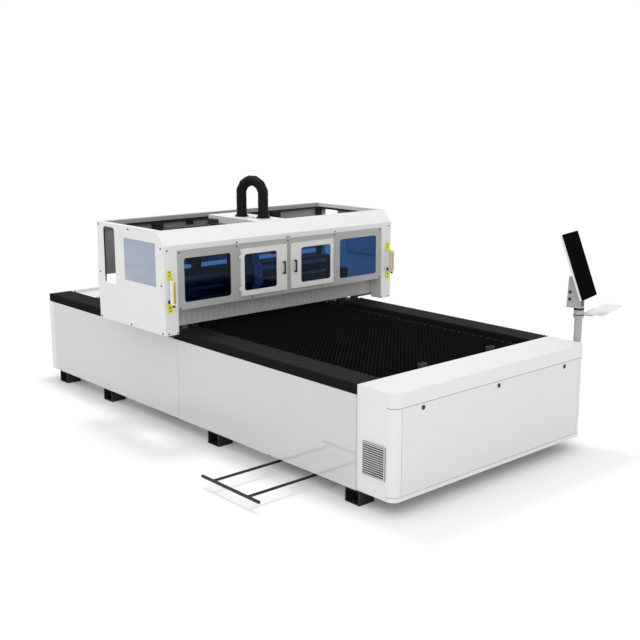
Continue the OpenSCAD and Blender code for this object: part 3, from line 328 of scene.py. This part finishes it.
def build_smear(tree, entry):
    """Glass: faint wiping smears that vary the tint and the gloss."""
    place = object_place(tree)
    drawn = add_node(tree, "VectorMath", {0: place, 1: (3.0, 3.0, 11.0)}, operation="MULTIPLY").outputs[0]
    smear = add_node(tree, "TexNoise", {"Vector": drawn, "Scale": 1.6, "Detail": 5.0}).outputs["Fac"]
    return (scaled_colour(tree, entry["Tint"], spread(tree, smear, 0.94, 1.06)),
            spread(tree, smear, 0.0, entry["Haze"]), smear)


def make_groups():
    """Builds the shared effects once."""
    tint = ("Tint", "Color", (0.5, 0.5, 0.5, 1.0))
    rough = ("Rough", "Float", 0.4)
    effect_group("Sprayed coat", (tint, rough, ("Mottle", "Float", 0.03), ("Peel", "Float", 700.0)),
                 FINISH_OUT, build_coat)
    effect_group("Ground metal", (tint, rough, ("Contrast", "Float", 0.15), ("Stretch", "Vector", (1, 1, 1))),
                 FINISH_OUT, build_brush)
    effect_group("Coated cloth", (tint, ("Threads", "Float", 260.0)), FINISH_OUT, build_weave)
    effect_group("Burnt steel", (tint, ("Spatter", "Color", (0.05, 0.04, 0.03, 1.0)),
                                 ("Low", "Float", 0.7), ("High", "Float", 0.77)), FINISH_OUT, build_scorch)
    effect_group("Louvre shade", (tint, ("Edge", "Float", 0.0), ("Depth", "Float", 0.005)),
                 FINISH_OUT, build_louvre)
    effect_group("Wiped glass", (tint, ("Haze", "Float", 0.08)), FINISH_OUT, build_smear)


def make_finish(name, group, values, bump, depth=0.0004, **shader):
    """Material: one effect group drives colour, roughness and bump; plain values sit on the shader."""
    if name in bpy.data.materials:
        raise ValueError(f"finish {name} is already there")
    material = bpy.data.materials.new(name)
    material.use_nodes = True
    tree = material.node_tree
    gloss = tree.nodes["Principled BSDF"]
    effect = tree.nodes.new("ShaderNodeGroup")
    effect.node_tree = bpy.data.node_groups[group]
    for key, value in values.items():
        effect.inputs[key].default_value = (*value, 1.0) if key in ("Tint", "Spatter") else value
    relief = add_node(tree, "Bump", {"Height": effect.outputs["Height"], "Strength": bump, "Distance": depth})
    tree.links.new(effect.outputs["Color"], gloss.inputs["Base Color"])
    tree.links.new(effect.outputs["Roughness"], gloss.inputs["Roughness"])
    tree.links.new(relief.outputs["Normal"], gloss.inputs["Normal"])
    for key, value in shader.items():
        gloss.inputs[key.replace("_", " ")].default_value = value


def make_finishes():
    """Every finish of the machine, by its maker's name."""
    pick = colours()
    coat = "Sprayed coat"
    make_finish("white_coat", coat, {"Tint": pick.white, "Rough": 0.42, "Mottle": 0.012}, 0.08)
    make_finish("front_coat", coat, {"Tint": [part * 0.95 for part in pick.white], "Rough": 0.36,
                                     "Mottle": 0.012}, 0.08)
    make_finish("panel_enamel", coat, {"Tint": pick.panel, "Rough": 0.2, "Mottle": 0.02, "Peel": 260.0},
                0.03, Coat_Weight=1.0, Coat_Roughness=0.03, Coat_IOR=1.7)
    make_finish("frame_coat", coat, {"Tint": pick.grey, "Rough": 0.45, "Mottle": 0.03}, 0.1)
    make_finish("rear_coat", coat, {"Tint": (0.40, 0.40, 0.39), "Rough": 0.45, "Mottle": 0.03}, 0.1)
    make_finish("dark_coat", coat, {"Tint": (0.022, 0.023, 0.025), "Rough": 0.5, "Mottle": 0.1}, 0.15)
    make_finish("black_coat", coat, {"Tint": (0.012, 0.016, 0.019), "Rough": 0.38, "Mottle": 0.15}, 0.15)
    make_finish("comb_coat", coat, {"Tint": (0.035, 0.050, 0.060), "Rough": 0.45, "Mottle": 0.12}, 0.2)
    make_finish("yellow_coat", coat, {"Tint": pick.yellow, "Rough": 0.4, "Mottle": 0.04}, 0.1)
    make_finish("pole_coat", coat, {"Tint": (0.42, 0.42, 0.415), "Rough": 0.35, "Mottle": 0.03}, 0.1)
    # the grille coat carries painted shade behind the louvres
    make_finish("grille_coat", "Louvre shade", {"Tint": pick.white, "Edge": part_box("vent_grille")[0].x,
                                                "Depth": 0.007}, 0.1)
    make_finish("moulded_black", coat, {"Tint": (0.010, 0.010, 0.011), "Rough": 0.5, "Mottle": 0.12,
                                        "Peel": 420.0}, 0.25)
    make_finish("display_black", coat, {"Tint": (0.0050, 0.0050, 0.0052), "Rough": 0.4, "Mottle": 0.08}, 0.02,
                Specular_IOR_Level=0.0)
    make_finish("hose_rubber", coat, {"Tint": (0.006, 0.006, 0.006), "Rough": 0.55, "Mottle": 0.2}, 0.2,
                Specular_IOR_Level=0.15)
    make_finish("curtain_rubber", coat, {"Tint": (0.50, 0.50, 0.485), "Rough": 0.6, "Mottle": 0.06}, 0.2)
    make_finish("amber_lens", coat, {"Tint": pick.amber, "Rough": 0.18, "Mottle": 0.08, "Peel": 180.0}, 0.2,
                Coat_Weight=0.6)
    make_finish("ground_rail", "Ground metal", {"Tint": (0.46, 0.48, 0.50), "Rough": 0.3, "Contrast": 0.12,
                                                "Stretch": (40.0, 2.0, 240.0)}, 0.1, Metallic=1.0)
    make_finish("turned_steel", "Ground metal", {"Tint": (0.42, 0.45, 0.47), "Rough": 0.28, "Contrast": 0.15,
                                                 "Stretch": (30.0, 30.0, 420.0)}, 0.1, Metallic=1.0)
    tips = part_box("slats")[1].z
    make_finish("burnt_slat", "Burnt steel", {"Tint": pick.slat, "Spatter": (0.016, 0.015, 0.014),
                                              "Low": tips - 0.03, "High": tips}, 0.4, Specular_IOR_Level=0.12)
    make_finish("bellows_cloth", "Coated cloth", {"Tint": pick.cloth}, 0.15, 0.0003, Specular_IOR_Level=0.12)
    make_finish("safety_glass", "Wiped glass", {"Tint": pick.glass, "Haze": 0.008}, 0.0,
                Transmission_Weight=1.0, IOR=1.2)
    make_finish("pale_glass", "Wiped glass", {"Tint": pick.side_glass, "Haze": 0.05}, 0.0,
                Transmission_Weight=0.4, IOR=1.3)


NODE_FINISH = {
    "white_coat": "rear_cover rear_deck cabinet_shell corner_covers housing_left housing_right front_frame "
                  "slope_panels guard_bars cover_box left_door right_door keyboard_tray monitor_case",
    "front_coat": "access_panel",
    "panel_enamel": "left_panels right_panels",
    "frame_coat": "window_frame",
    "rear_coat": "housing_rear",
    "dark_coat": "bed_frame drawer_runners end_carriages crossbeam x_plate slag_tray",
    "black_coat": "feet drive_motors chain_tray inner_frame z_axis drawer_handle "
                  "cam_lock_left cam_lock_mid cam_lock_right",
    "comb_coat": "slat_frame",
    "yellow_coat": "guard_brackets",
    "pole_coat": "console_pole swivel_bracket",
    "grille_coat": "vent_grille",
    "moulded_black": "x_chain left_handle right_handle",
    "display_black": "monitor_screen",
    "hose_rubber": "hose_loop",
    "curtain_rubber": "splash_curtain",
    "amber_lens": "guard_lenses",
    "ground_rail": "guide_rails x_rails rail_blocks x_blocks",
    "turned_steel": "cutting_head",
    "burnt_slat": "slats",
    "bellows_cloth": "bellows_left_front bellows_left_rear bellows_right_front bellows_right_rear",
    "safety_glass": "fixed_glass left_door_glass right_door_glass",
    "pale_glass": "side_windows",
}


class CUTTER_OT_finishes(bpy.types.Operator):
    """Makes the finishes and puts one on every solid of the frame"""

    bl_idname = "cutter.finishes"
    bl_label = "Paint the frame"

    def execute(self, context):
        make_groups()
        make_finishes()
        painted = {node: finish for finish, nodes in NODE_FINISH.items() for node in nodes.split()}
        for node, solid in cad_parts.items():
            solid.data.materials.clear()
            solid.data.materials.append(bpy.data.materials[painted[node]])
        return {"FINISHED"}


PLEAT_FLAT = 0.12  # share of each pleat that lies on its ridge
PLEAT_CHAMFER = 0.006


def pleated_cover(low, high):
    """Pleated cover over a rail: along Y a zigzag of valleys and ridges draws the section in.

    The section is an open box of two sides and a top with chamfered corners. In a valley the sides
    stand in by the side depth and the top lies lower by the top depth. A second, smaller section
    inside it gives the cloth its thickness.
    """
    size = sizes()
    share, valley = zigzag(round((high.y - low.y) / size.pleat_pitch), PLEAT_FLAT)
    along = low.y + share * (high.y - low.y)

    def section(wall):
        side = valley * size.pleat_side + wall
        top = high.z - valley * size.pleat_top - wall
        left, right = low.x + side, high.x - side
        floor = np.full_like(top, low.z)
        x = np.stack([left, left, left + PLEAT_CHAMFER, right - PLEAT_CHAMFER, right, right], 1)
        z = np.stack([floor, top - PLEAT_CHAMFER, top, top, top - PLEAT_CHAMFER, floor], 1)
        return np.stack([x, np.repeat(along[:, None], 6, 1), z], -1)

    return swept(np.concatenate([section(0.0), section(size.cloth)[:, ::-1]], 1))


class CUTTER_OT_bellows(bpy.types.Operator):
    """Makes the four pleated bellows, which stretch between the bed and the gantry"""

    bl_idname = "cutter.bellows"
    bl_label = "Bellows"

    def execute(self, context):
        for side in ("left", "right"):
            for end in ("front", "rear"):
                node = f"bellows_{side}_{end}"
                low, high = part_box(node)
                shape = pleated_cover(low, high)
                piece = make_piece(f"pleats_{side}_{end}", shape, "bellows_cloth", 20.0)
                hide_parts(node)
                follow(piece)
        return {"FINISHED"}


TOOTH_FLAT = 0.08  # share of each tooth that is blunt
NOTCH_IN = 0.012  # from a slat's end to the middle of its notch
NOTCH_HALF = 0.005
NOTCH_STEP = 0.0001  # slant of a notch's sides
NOTCH_RISE = 0.05


def toothed_slat(low, high):
    """Saw-toothed strip: the top edge is a zigzag z(x) with blunt tips, the foot is notched near each end."""
    size = sizes()
    share, gap = zigzag(round((high.x - low.x) / size.tooth_pitch), TOOTH_FLAT)
    teeth = low.x + share * (high.x - low.x)
    half = np.array([NOTCH_HALF, NOTCH_HALF - NOTCH_STEP])
    notch = NOTCH_IN + np.concatenate([-half, half])
    x = np.sort(np.concatenate([teeth, low.x + notch, high.x - notch]))
    top = np.interp(x, teeth, high.z - gap * size.tooth_d)
    from_end = np.minimum(x - low.x, high.x - x)
    foot = low.z + NOTCH_RISE * (np.abs(from_end - NOTCH_IN) < NOTCH_HALF - NOTCH_STEP / 2)
    front, back = np.zeros_like(x), np.full_like(x, size.slat_t)
    ring_y = np.stack([front, front, back, back], 1)
    ring_z = np.stack([foot, top, top, foot], 1)
    return swept(np.stack([np.repeat(x[:, None], 4, 1), ring_y, ring_z], -1))


class CUTTER_OT_slats(bpy.types.Operator):
    """Makes the saw-toothed slats of the table"""

    bl_idname = "cutter.slats"
    bl_label = "Slats"

    def execute(self, context):
        size = sizes()
        low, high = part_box("slats")
        count = round((high.y - low.y - size.slat_t) / size.slat_pitch) + 1
        rows = np.linspace(low.y, high.y - size.slat_t, count)
        shape = copies(toothed_slat(low, high), np.stack([0 * rows, rows, 0 * rows], 1))
        piece = make_piece("toothed_slats", shape, "burnt_slat", 20.0)
        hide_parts("slats")
        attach(piece, "bed")
        return {"FINISHED"}


HOSE_TURN = math.radians(104)  # direction of the loop about Z
HOSE_RADIUS = 0.042
HOSE_BEND = 0.110
HOSE_FLANGE = 0.008
HOSE_KINKS = 6
GROOVE_W = 0.006  # half width of a groove's bell curve
RING_CORNERS = 32


def hose_line(foot, top, step):
    """Centre line of the hose loop: up one leg, round equal kinks of the bend, down the other leg.

    Returns the distance along the line, the place across and up, and the angle at which a ring is cut.
    """
    leg = top - foot
    kink = math.pi / HOSE_KINKS
    reach = HOSE_BEND / math.cos(kink / 2)
    bend = (np.arange(HOSE_KINKS) + 0.5) * kink
    x = np.concatenate([[-HOSE_BEND], -reach * np.cos(bend), [HOSE_BEND]])
    z = np.concatenate([[foot], top + reach * np.sin(bend), [foot]])
    s = np.concatenate([[0], np.cumsum(np.hypot(np.diff(x), np.diff(z)))])
    at = np.unique(np.concatenate([s, np.linspace(0, s[-1], round(s[-1] / step) + 1)]))
    angle = np.clip((at - leg) / (s[-1] - 2 * leg), 0, 1) * math.pi
    return at, np.interp(at, s, x), np.interp(at, s, z), angle


def ribbed_hose(centre, foot, top):
    """Ribbed hose: a circle carried along the kinked loop; its radius swells as a cosine of the distance.

    Every few ribs a deeper groove, a narrow bell curve of the distance, parts the hose into lengths.
    """
    size = sizes()
    s, across, z, angle = hose_line(foot, top, size.rib_pitch / 6)
    beat = (s / size.groove_pitch + 0.5) % 1 - 0.5
    groove = size.groove_d * np.exp(-(beat * size.groove_pitch / GROOVE_W) ** 2)
    radius = HOSE_RADIUS - size.rib_d / 2 * (1 + np.cos(2 * np.pi * s / size.rib_pitch)) - groove
    turn = np.linspace(0, 2 * np.pi, RING_CORNERS, endpoint=False)
    out = radius[:, None] * np.cos(turn)
    depth = radius[:, None] * np.sin(turn)
    along = across[:, None] - out * np.cos(angle)[:, None]
    up = z[:, None] + out * np.sin(angle)[:, None]
    x = centre.x + along * math.cos(HOSE_TURN) - depth * math.sin(HOSE_TURN)
    y = centre.y + along * math.sin(HOSE_TURN) + depth * math.cos(HOSE_TURN)
    return swept(np.stack([x, y, up], -1))


class CUTTER_OT_hose(bpy.types.Operator):
    """Makes the ribbed hose loop with its two clamp collars"""

    bl_idname = "cutter.hose"
    bl_label = "Hose loop"

    def execute(self, context):
        low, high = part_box("hose_loop")
        centre = (low + high) / 2
        bend_z = high.z - HOSE_RADIUS - HOSE_BEND
        reach = np.array([math.cos(HOSE_TURN), math.sin(HOSE_TURN), 0]) * HOSE_BEND
        collar = turned([(0.038, 0.0), (0.056, 0.0), (0.056, 0.006), (0.0545, 0.008), (0.046, 0.008),
                         (0.045, 0.022), (0.0435, 0.024), (0.038, 0.024)], 40)
        base = np.array([centre.x, centre.y, low.z])
        collars = copies(collar, [base - reach, base + reach])
        shape = joined(ribbed_hose(centre, low.z + HOSE_FLANGE, bend_z), collars)
        piece = make_piece("ribbed_hose", shape, "hose_rubber", 40.0)
        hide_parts("hose_loop")
        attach(piece, "x_carriage")
        return {"FINISHED"}


LINK_HEIGHT = 0.060
LINK_NARROW = 0.006  # how much every second link stands in on each side
LINK_STATIONS = np.array([0.02, 0.1, 0.9, 0.98])  # rings of a link along its length
LINK_SHRINK = np.array([0.86, 1.0, 1.0, 0.86])  # height of each ring as a share
LINK_OUTLINE = np.array([(-1, -0.8), (-0.8, -1), (0.8, -1), (1, -0.8),
                         (1, 0.8), (0.8, 1), (-0.8, 1), (-1, 0.8)])


def chain_links(low, high, fixed_end, free_end):
    """Energy chain: links along a flat run, a half turn and a flat run back.

    In the turn the line is x = bend - r sin(a), z = middle - r cos(a), with the angle a growing with the
    distance. A link is a rectangle with cut corners carried along the line; every second one is narrower.
    Returns the shape and each corner's place along the line as a share of its length.
    """
    radius = (high.z - low.z - LINK_HEIGHT) / 2
    bend_x = low.x + radius + LINK_HEIGHT / 2
    lower, upper = fixed_end - bend_x, free_end - bend_x
    total = lower + math.pi * radius + upper
    count = round(total / sizes().link_pitch)
    links = np.arange(count)[:, None]
    s = (links + LINK_STATIONS) * total / count
    angle = np.clip((s - lower) / radius, 0, math.pi)
    back = bend_x + s - total + upper
    x = np.where(s < lower, fixed_end - s, np.where(s > total - upper, back, bend_x - radius * np.sin(angle)))
    z = (low.z + high.z) / 2 - radius * np.cos(angle)
    half = (high.y - low.y) / 2 - LINK_NARROW * (links % 2 == 0)
    across = np.repeat(half[:, :, None] * LINK_OUTLINE[:, 0], len(LINK_STATIONS), 1)
    thick = LINK_HEIGHT / 2 * LINK_SHRINK[:, None] * LINK_OUTLINE[:, 1]
    rings = np.stack([x[:, :, None] + thick * np.sin(angle)[:, :, None], (high.y + low.y) / 2 + across,
                      z[:, :, None] + thick * np.cos(angle)[:, :, None]], -1)
    return joined(*map(swept, rings)), np.repeat(s.ravel() / total, len(LINK_OUTLINE))


class CUTTER_OT_chain(bpy.types.Operator):
    """Makes the energy chain, which rolls between the gantry and the cross carriage"""

    bl_idname = "cutter.chain"
    bl_label = "Energy chain"

    def execute(self, context):
        low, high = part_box("x_chain")
        shape, share = chain_links(low, high, high.x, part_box("cover_box")[0].x)
        piece = make_piece("chain_links", shape, "moulded_black", 30.0)
        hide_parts("x_chain")
        follow(piece)
        return {"FINISHED"}


STRIP_BOW = 0.0022
STRIP_GAP = 0.0006  # from a strip's edge to the joint beside it
STRIP_EDGE = 0.003


def curtain_strips(low, high):
    """Splash curtain: upright strips, each bowed forward as 1 - t squared across its width."""
    count = round((high.x - low.x) / sizes().strip_w)
    pitch = (high.x - low.x) / count
    across = np.linspace(-1, 1, 9)
    x = across * (pitch / 2 - STRIP_GAP)
    loop_x = np.concatenate([x, x[::-1]])
    loop_y = np.concatenate([low.y + STRIP_BOW * across ** 2, np.full_like(x, high.y)])
    levels = np.array([low.z, low.z + STRIP_EDGE, high.z - STRIP_EDGE, high.z])
    rings = np.stack(np.broadcast_arrays(loop_x, loop_y, levels[:, None]), -1)
    middles = low.x + (np.arange(count) + 0.5) * pitch
    return copies(swept(rings), np.stack([middles, 0 * middles, 0 * middles], 1))


class CUTTER_OT_curtain(bpy.types.Operator):
    """Makes the strips of the splash curtain"""

    bl_idname = "cutter.curtain"
    bl_label = "Splash curtain"

    def execute(self, context):
        shape = curtain_strips(*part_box("splash_curtain"))
        piece = make_piece("curtain_strips", shape, "curtain_rubber")
        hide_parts("splash_curtain")
        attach(piece, "gantry")
        return {"FINISHED"}


def screw_head(radius):
    """Button head with a round socket, its foot a little below the sheet."""
    return turned([(radius, -0.0005), (radius, 0.0012), (radius * 0.9, 0.0028), (radius * 0.6, 0.0036),
                   (radius * 0.45, 0.0036), (radius * 0.42, 0.0014)], 14)


def middle_x():
    """The machine's middle plane across its width."""
    low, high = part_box("cabinet_shell")
    return (low.x + high.x) / 2


def mirrored(points):
    """The points and their mirror images across the machine's middle plane."""
    points = np.array(points, float).reshape(-1, 3)
    return np.concatenate([points, np.stack([2 * middle_x() - points[:, 0], points[:, 1], points[:, 2]], 1)])


FOOT_ROW = 0.012  # from the housing's foot to its lowest row of screws
TOP_ROW = 0.025  # from the window frame's top to its upper row of screws
SMALL_SCREW = 0.85  # front screws beside those of the sides
PAD_SCREW_R = 0.005
GUARD_IN = 0.020  # from a bracket's outer side to the light guard's axis


def side_screws(screw):
    """Screws of both housing sides: three along the top, two near the windows' foot, three along the foot."""
    low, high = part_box("housing_left")
    front, middle, back = low.y + 0.040, low.y + 0.475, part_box("front_frame")[0].y + 0.914
    places = [(back, high.z - 0.018), (middle, high.z - 0.021), (front, high.z - 0.122),
              (front, low.z + 0.369), (back - 0.002, low.z + 0.371),
              (back, low.z + FOOT_ROW), (middle, low.z + FOOT_ROW), (front, low.z + FOOT_ROW)]
    right_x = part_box("housing_right")[1].x
    return joined(copies(aimed(screw, (-1, 0, 0)), [(low.x, y, z) for y, z in places]),
                  copies(aimed(screw, (1, 0, 0)), [(right_x, y, z) for y, z in places]))


def front_screws(screw):
    """Screws of the posts, the band above the windows and the window frame."""
    low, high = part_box("housing_left")
    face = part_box("front_frame")[0].y
    sheet = face + 0.003
    foot, top = (corner.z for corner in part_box("window_frame"))
    middle = middle_x()
    joint, end = middle - 0.505, middle - 1.029
    band = high.z - 0.132
    post = [(low.x + 0.028, face, high.z - 0.135), (low.x + 0.026, face, low.z + FOOT_ROW),
            (low.x + 0.104, face, low.z + FOOT_ROW), (joint, face, band), (middle - 0.011, face, band)]
    pane = [(end, sheet, top - TOP_ROW), (joint, sheet, top - TOP_ROW),
            (end, sheet, foot + 0.011), (middle - 0.363, sheet, foot + 0.013)]
    centre = [(middle, sheet, top - TOP_ROW)]
    return copies(aimed(screw, (0, -1, 0)), np.concatenate([mirrored(post), mirrored(pane), centre]))


def pad_screws(screw):
    """Two screws on each pad of the light guards' brackets."""
    low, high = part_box("guard_brackets")
    levels = (high.z - 0.012, high.z - 0.038, low.z + 0.012, low.z + 0.038)
    return copies(aimed(screw, (0, -1, 0)), mirrored([(low.x + GUARD_IN, low.y + 0.066, z) for z in levels]))


def make_housing_screws():
    """All visible screws of the housing."""
    radius = sizes().screw_r
    shape = joined(side_screws(screw_head(radius)), front_screws(screw_head(radius * SMALL_SCREW)),
                   pad_screws(screw_head(PAD_SCREW_R)))
    screws = make_piece("housing_screws", shape, "black_coat", 40.0)
    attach(screws, "gantry")


def make_guard_fittings():
    """Cable glands on the posts and end caps below the light guards."""
    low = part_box("guard_bars")[0]
    guard_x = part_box("guard_brackets")[0].x + GUARD_IN
    gland = aimed(turned([(0.012, -0.0005), (0.012, 0.006), (0.010, 0.008), (0.0095, 0.016), (0.008, 0.019),
                          (0.005, 0.019), (0.005, 0.010)], 18), (0, -1, 0))
    cap = turned([(0.009, 0.0), (0.010, -0.003), (0.010, -0.012), (0.007, -0.015)], 16)
    glands = copies(gland, mirrored([(guard_x - 0.004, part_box("front_frame")[0].y, low.z + 0.014)]))
    caps = copies(cap, mirrored([(guard_x, low.y + 0.012, low.z - 0.0042)]))
    fittings = make_piece("guard_fittings", joined(glands, caps), "moulded_black", 40.0)
    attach(fittings, "gantry")


CONSOLE_YAW = math.radians(14)
COLLAR_R = 0.038  # from the pole's axis to the right end of its box
PIVOT_BACK = 0.056
PIVOT_LEVELS = np.array([(0, 0, 0.071), (0, 0, 0.123)])
EAR_OUT = 0.0461  # from the bracket's middle to the outside of an ear
BAND_RISE = 0.001
BAND_DROP = 0.043
BAND_THIN = 0.4  # height of the thin band as a share of the wide one


def pole_top():
    """The middle of the console pole's upper end."""
    low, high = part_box("console_pole")
    return np.array([high.x - COLLAR_R, (low.y + high.y) / 2, high.z])


def make_console_bolts():
    """Bolt heads on both ears of the monitor's bracket."""
    across = np.array([math.cos(CONSOLE_YAW), math.sin(CONSOLE_YAW), 0])
    back = np.array([-math.sin(CONSOLE_YAW), math.cos(CONSOLE_YAW), 0])
    head = turned([(0.0095, -0.0065), (0.011, -0.0065), (0.011, 0.0), (0.0095, 0.0015), (0.006, 0.002),
                   (0.005, 0.0012)], 18)
    pivots = pole_top() + back * PIVOT_BACK + PIVOT_LEVELS
    bolts = [copies(aimed(head, side * across), pivots + side * across * EAR_OUT) for side in (-1, 1)]
    heads = make_piece("console_bolts", joined(*bolts), "black_coat", 40.0)
    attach(heads, "console_head")


def make_console_bands():
    """A wide and a thin band round the hub on the pole."""
    band = hooped([(0.033, -0.008), (0.0365, -0.008), (0.0372, -0.006), (0.0372, 0.006), (0.0365, 0.008),
                   (0.033, 0.008)], 32)
    thin = (band[0] * (1, 1, BAND_THIN), band[1])
    axis = pole_top()
    bands = joined(copies(band, [axis + (0, 0, BAND_RISE)]), copies(thin, [axis - (0, 0, BAND_DROP)]))
    rings = make_piece("console_bands", bands, "moulded_black", 40.0)
    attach(rings, "console_head")


def make_cover_screw():
    """The screw on top of the carriage cover."""
    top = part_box("cover_box")[1]
    shape = copies(screw_head(sizes().screw_r), [(top.x - 0.15, top.y - 0.4255, top.z)])
    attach(make_piece("cover_screw", shape, "black_coat", 40.0), "x_carriage")


TRIM_HALF = 0.001


def edge_trim(side):
    """Trim on a side panel's front edge: a flat strip, its four-cornered section drawn straight up."""
    low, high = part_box(f"{side}_panels")
    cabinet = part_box("cabinet_shell")
    out, inside = (low.x, cabinet[0].x) if side == "left" else (high.x, cabinet[1].x)
    x = np.array([out, out, inside, inside])
    y = low.y + TRIM_HALF * np.array([1, -1, -1, 1])
    rise = np.linspace(low.z, high.z, 9)
    return swept(np.stack(np.broadcast_arrays(x, y, rise[:, None]), -1))


def make_panel_trims():
    """Trims between the side panels and the cabinet."""
    trims = joined(edge_trim("left"), edge_trim("right"))
    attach(make_piece("panel_trims", trims, "panel_enamel", 40.0), "bed")


class CUTTER_OT_fasteners(bpy.types.Operator):
    """Makes the screws, glands, caps, bolts, bands and trims of the housing, the console and the bed"""

    bl_idname = "cutter.fasteners"
    bl_label = "Fasteners"

    def execute(self, context):
        make_housing_screws()
        make_guard_fittings()
        make_console_bolts()
        make_console_bands()
        make_cover_screw()
        make_panel_trims()
        return {"FINISHED"}


CAMERA_AT = (-5.0673, -6.0602, 2.4597)
CAMERA_YAW = -0.728
CAMERA_PITCH = -0.213
FOCAL_PIXELS = 1004.0
FRAME_PIXELS = 640.0
ROOM_LIGHT = 0.80
FLOOR_HALF = 60.0
FLOOR_LIFT = 0.10  # glow of the floor as the camera sees it
PANE_DIM = 0.55  # how much the far floor is dimmed behind glass
FADE_FROM = 3.2
FADE_TO = 6.0


def make_camera():
    """Camera at the photograph's place: yaw about Z, then pitch below the horizon."""
    data = bpy.data.cameras.new("view")
    data.sensor_width = 36.0
    data.lens = FOCAL_PIXELS / FRAME_PIXELS * data.sensor_width
    data.clip_end = 200.0
    camera = bpy.data.objects.new("view", data)
    camera.location = CAMERA_AT
    camera.rotation_euler = (math.pi / 2 + CAMERA_PITCH, 0.0, CAMERA_YAW)
    bpy.context.scene.collection.objects.link(camera)
    bpy.context.scene.camera = camera


def make_world():
    """White surroundings: full white to the camera and through glass, a softer white as light."""
    world = bpy.data.worlds.new("studio")
    world.use_nodes = True
    tree = world.node_tree
    tree.nodes.clear()
    path = add_node(tree, "LightPath")
    shown = maths(tree, "MAXIMUM", path.outputs["Is Camera Ray"], path.outputs["Is Transmission Ray"])
    light = add_node(tree, "Background", {"Color": (1.0, 0.998, 0.99, 1.0), "Strength": ROOM_LIGHT})
    white = add_node(tree, "Background", {"Color": (1.0, 1.0, 1.0, 1.0), "Strength": 1.0})
    mix = add_node(tree, "MixShader", {0: shown, 1: light.outputs[0], 2: white.outputs[0]})
    leave = tree.nodes.new("ShaderNodeOutputWorld")
    tree.links.new(mix.outputs[0], leave.inputs["Surface"])
    bpy.context.scene.world = world


def make_floor():
    """Pale floor that fades to white away from the machine; it keeps the machine's shadow.

    Its far white is dimmed for rays through glass, so that gaps behind the panes don't glare.
    """
    corners = [(x * FLOOR_HALF, y * FLOOR_HALF, 0) for x, y in ((-1, -1), (1, -1), (1, 1), (-1, 1))]
    mesh = bpy.data.meshes.new("floor")
    mesh.from_pydata(corners, [], [(0, 1, 2, 3)])
    material = bpy.data.materials.new("studio_floor")
    material.use_nodes = True
    tree = material.node_tree
    tree.nodes.clear()
    reach = add_node(tree, "VectorMath", {0: object_place(tree)}, operation="LENGTH").outputs["Value"]
    fade = add_node(tree, "MapRange", {"Value": reach, "From Min": FADE_FROM, "From Max": FADE_TO},
                    interpolation_type="SMOOTHSTEP").outputs["Result"]
    path = add_node(tree, "LightPath")
    seen = maths(tree, "MULTIPLY", path.outputs["Is Camera Ray"], FLOOR_LIFT)
    dimmed = maths(tree, "MULTIPLY_ADD", path.outputs["Is Transmission Ray"], -PANE_DIM, 1.0)
    ground = add_node(tree, "BsdfDiffuse", {"Color": (0.95, 0.95, 0.95, 1.0)})
    white = add_node(tree, "Emission", {"Color": (1.0, 1.0, 1.0, 1.0), "Strength": dimmed})
    lift = add_node(tree, "Emission", {"Color": (1.0, 1.0, 1.0, 1.0), "Strength": seen})
    near = add_node(tree, "AddShader", {0: ground.outputs[0], 1: lift.outputs[0]})
    mix = add_node(tree, "MixShader", {0: fade, 1: near.outputs[0], 2: white.outputs[0]})
    leave = tree.nodes.new("ShaderNodeOutputMaterial")
    tree.links.new(mix.outputs[0], leave.inputs["Surface"])
    mesh.materials.append(material)
    floor = bpy.data.objects.new("floor", mesh)
    bpy.context.scene.collection.objects.link(floor)


def make_lamp(name, place, target, size, power):
    """Large soft area lamp aimed at a point."""
    data = bpy.data.lights.new(name, "AREA")
    data.shape = "DISK"
    data.size = size
    data.energy = power
    lamp = bpy.data.objects.new(name, data)
    lamp.location = place
    lamp.rotation_euler = (Vector(target) - Vector(place)).to_track_quat("-Z", "Y").to_euler()
    bpy.context.scene.collection.objects.link(lamp)


class CUTTER_OT_stage(bpy.types.Operator):
    """Sets up the camera, the pale floor and the soft studio light"""

    bl_idname = "cutter.stage"
    bl_label = "Stage"

    def execute(self, context):
        make_camera()
        make_world()
        make_floor()
        make_lamp("key", (0.3, 1.6, 7.2), (0, -0.5, 0.4), 1.6, 150.0)
        make_lamp("fill", (-5.0, -7.0, 6.0), (0, -0.5, 0.5), 6.0, 125.0)
        context.scene.view_settings.view_transform = "Standard"
        return {"FINISHED"}


class CUTTER_PT_tools(bpy.types.Panel):
    """Lists the steps that dress the machine"""

    bl_label = "Laser cutter"
    bl_idname = "CUTTER_PT_tools"
    bl_space_type = "VIEW_3D"
    bl_region_type = "UI"
    bl_category = "Cutter"

    def draw(self, context):
        for step in STEPS:
            self.layout.operator(step.bl_idname)
        for group in (context.scene.cutter_sizes, context.scene.cutter_colours):
            for key in group.__annotations__:
                self.layout.prop(group, key)


STEPS = (CUTTER_OT_finishes, CUTTER_OT_bellows, CUTTER_OT_slats, CUTTER_OT_hose, CUTTER_OT_chain,
         CUTTER_OT_curtain, CUTTER_OT_fasteners, CUTTER_OT_stage)
CLASSES = (CutterSizes, CutterColours, *STEPS, CUTTER_PT_tools)


def register():
    for kind in CLASSES:
        bpy.utils.register_class(kind)
    bpy.types.Scene.cutter_sizes = PointerProperty(type=CutterSizes)
    bpy.types.Scene.cutter_colours = PointerProperty(type=CutterColours)


def unregister():
    del bpy.types.Scene.cutter_colours
    del bpy.types.Scene.cutter_sizes
    for kind in reversed(CLASSES):
        bpy.utils.unregister_class(kind)


def main():
    """Registers the classes and runs each step."""
    register()
    bpy.ops.cutter.finishes()
    bpy.ops.cutter.bellows()
    bpy.ops.cutter.slats()
    bpy.ops.cutter.hose()
    bpy.ops.cutter.chain()
    bpy.ops.cutter.curtain()
    bpy.ops.cutter.fasteners()
    bpy.ops.cutter.stage()


if __name__ == "__main__":
    main()
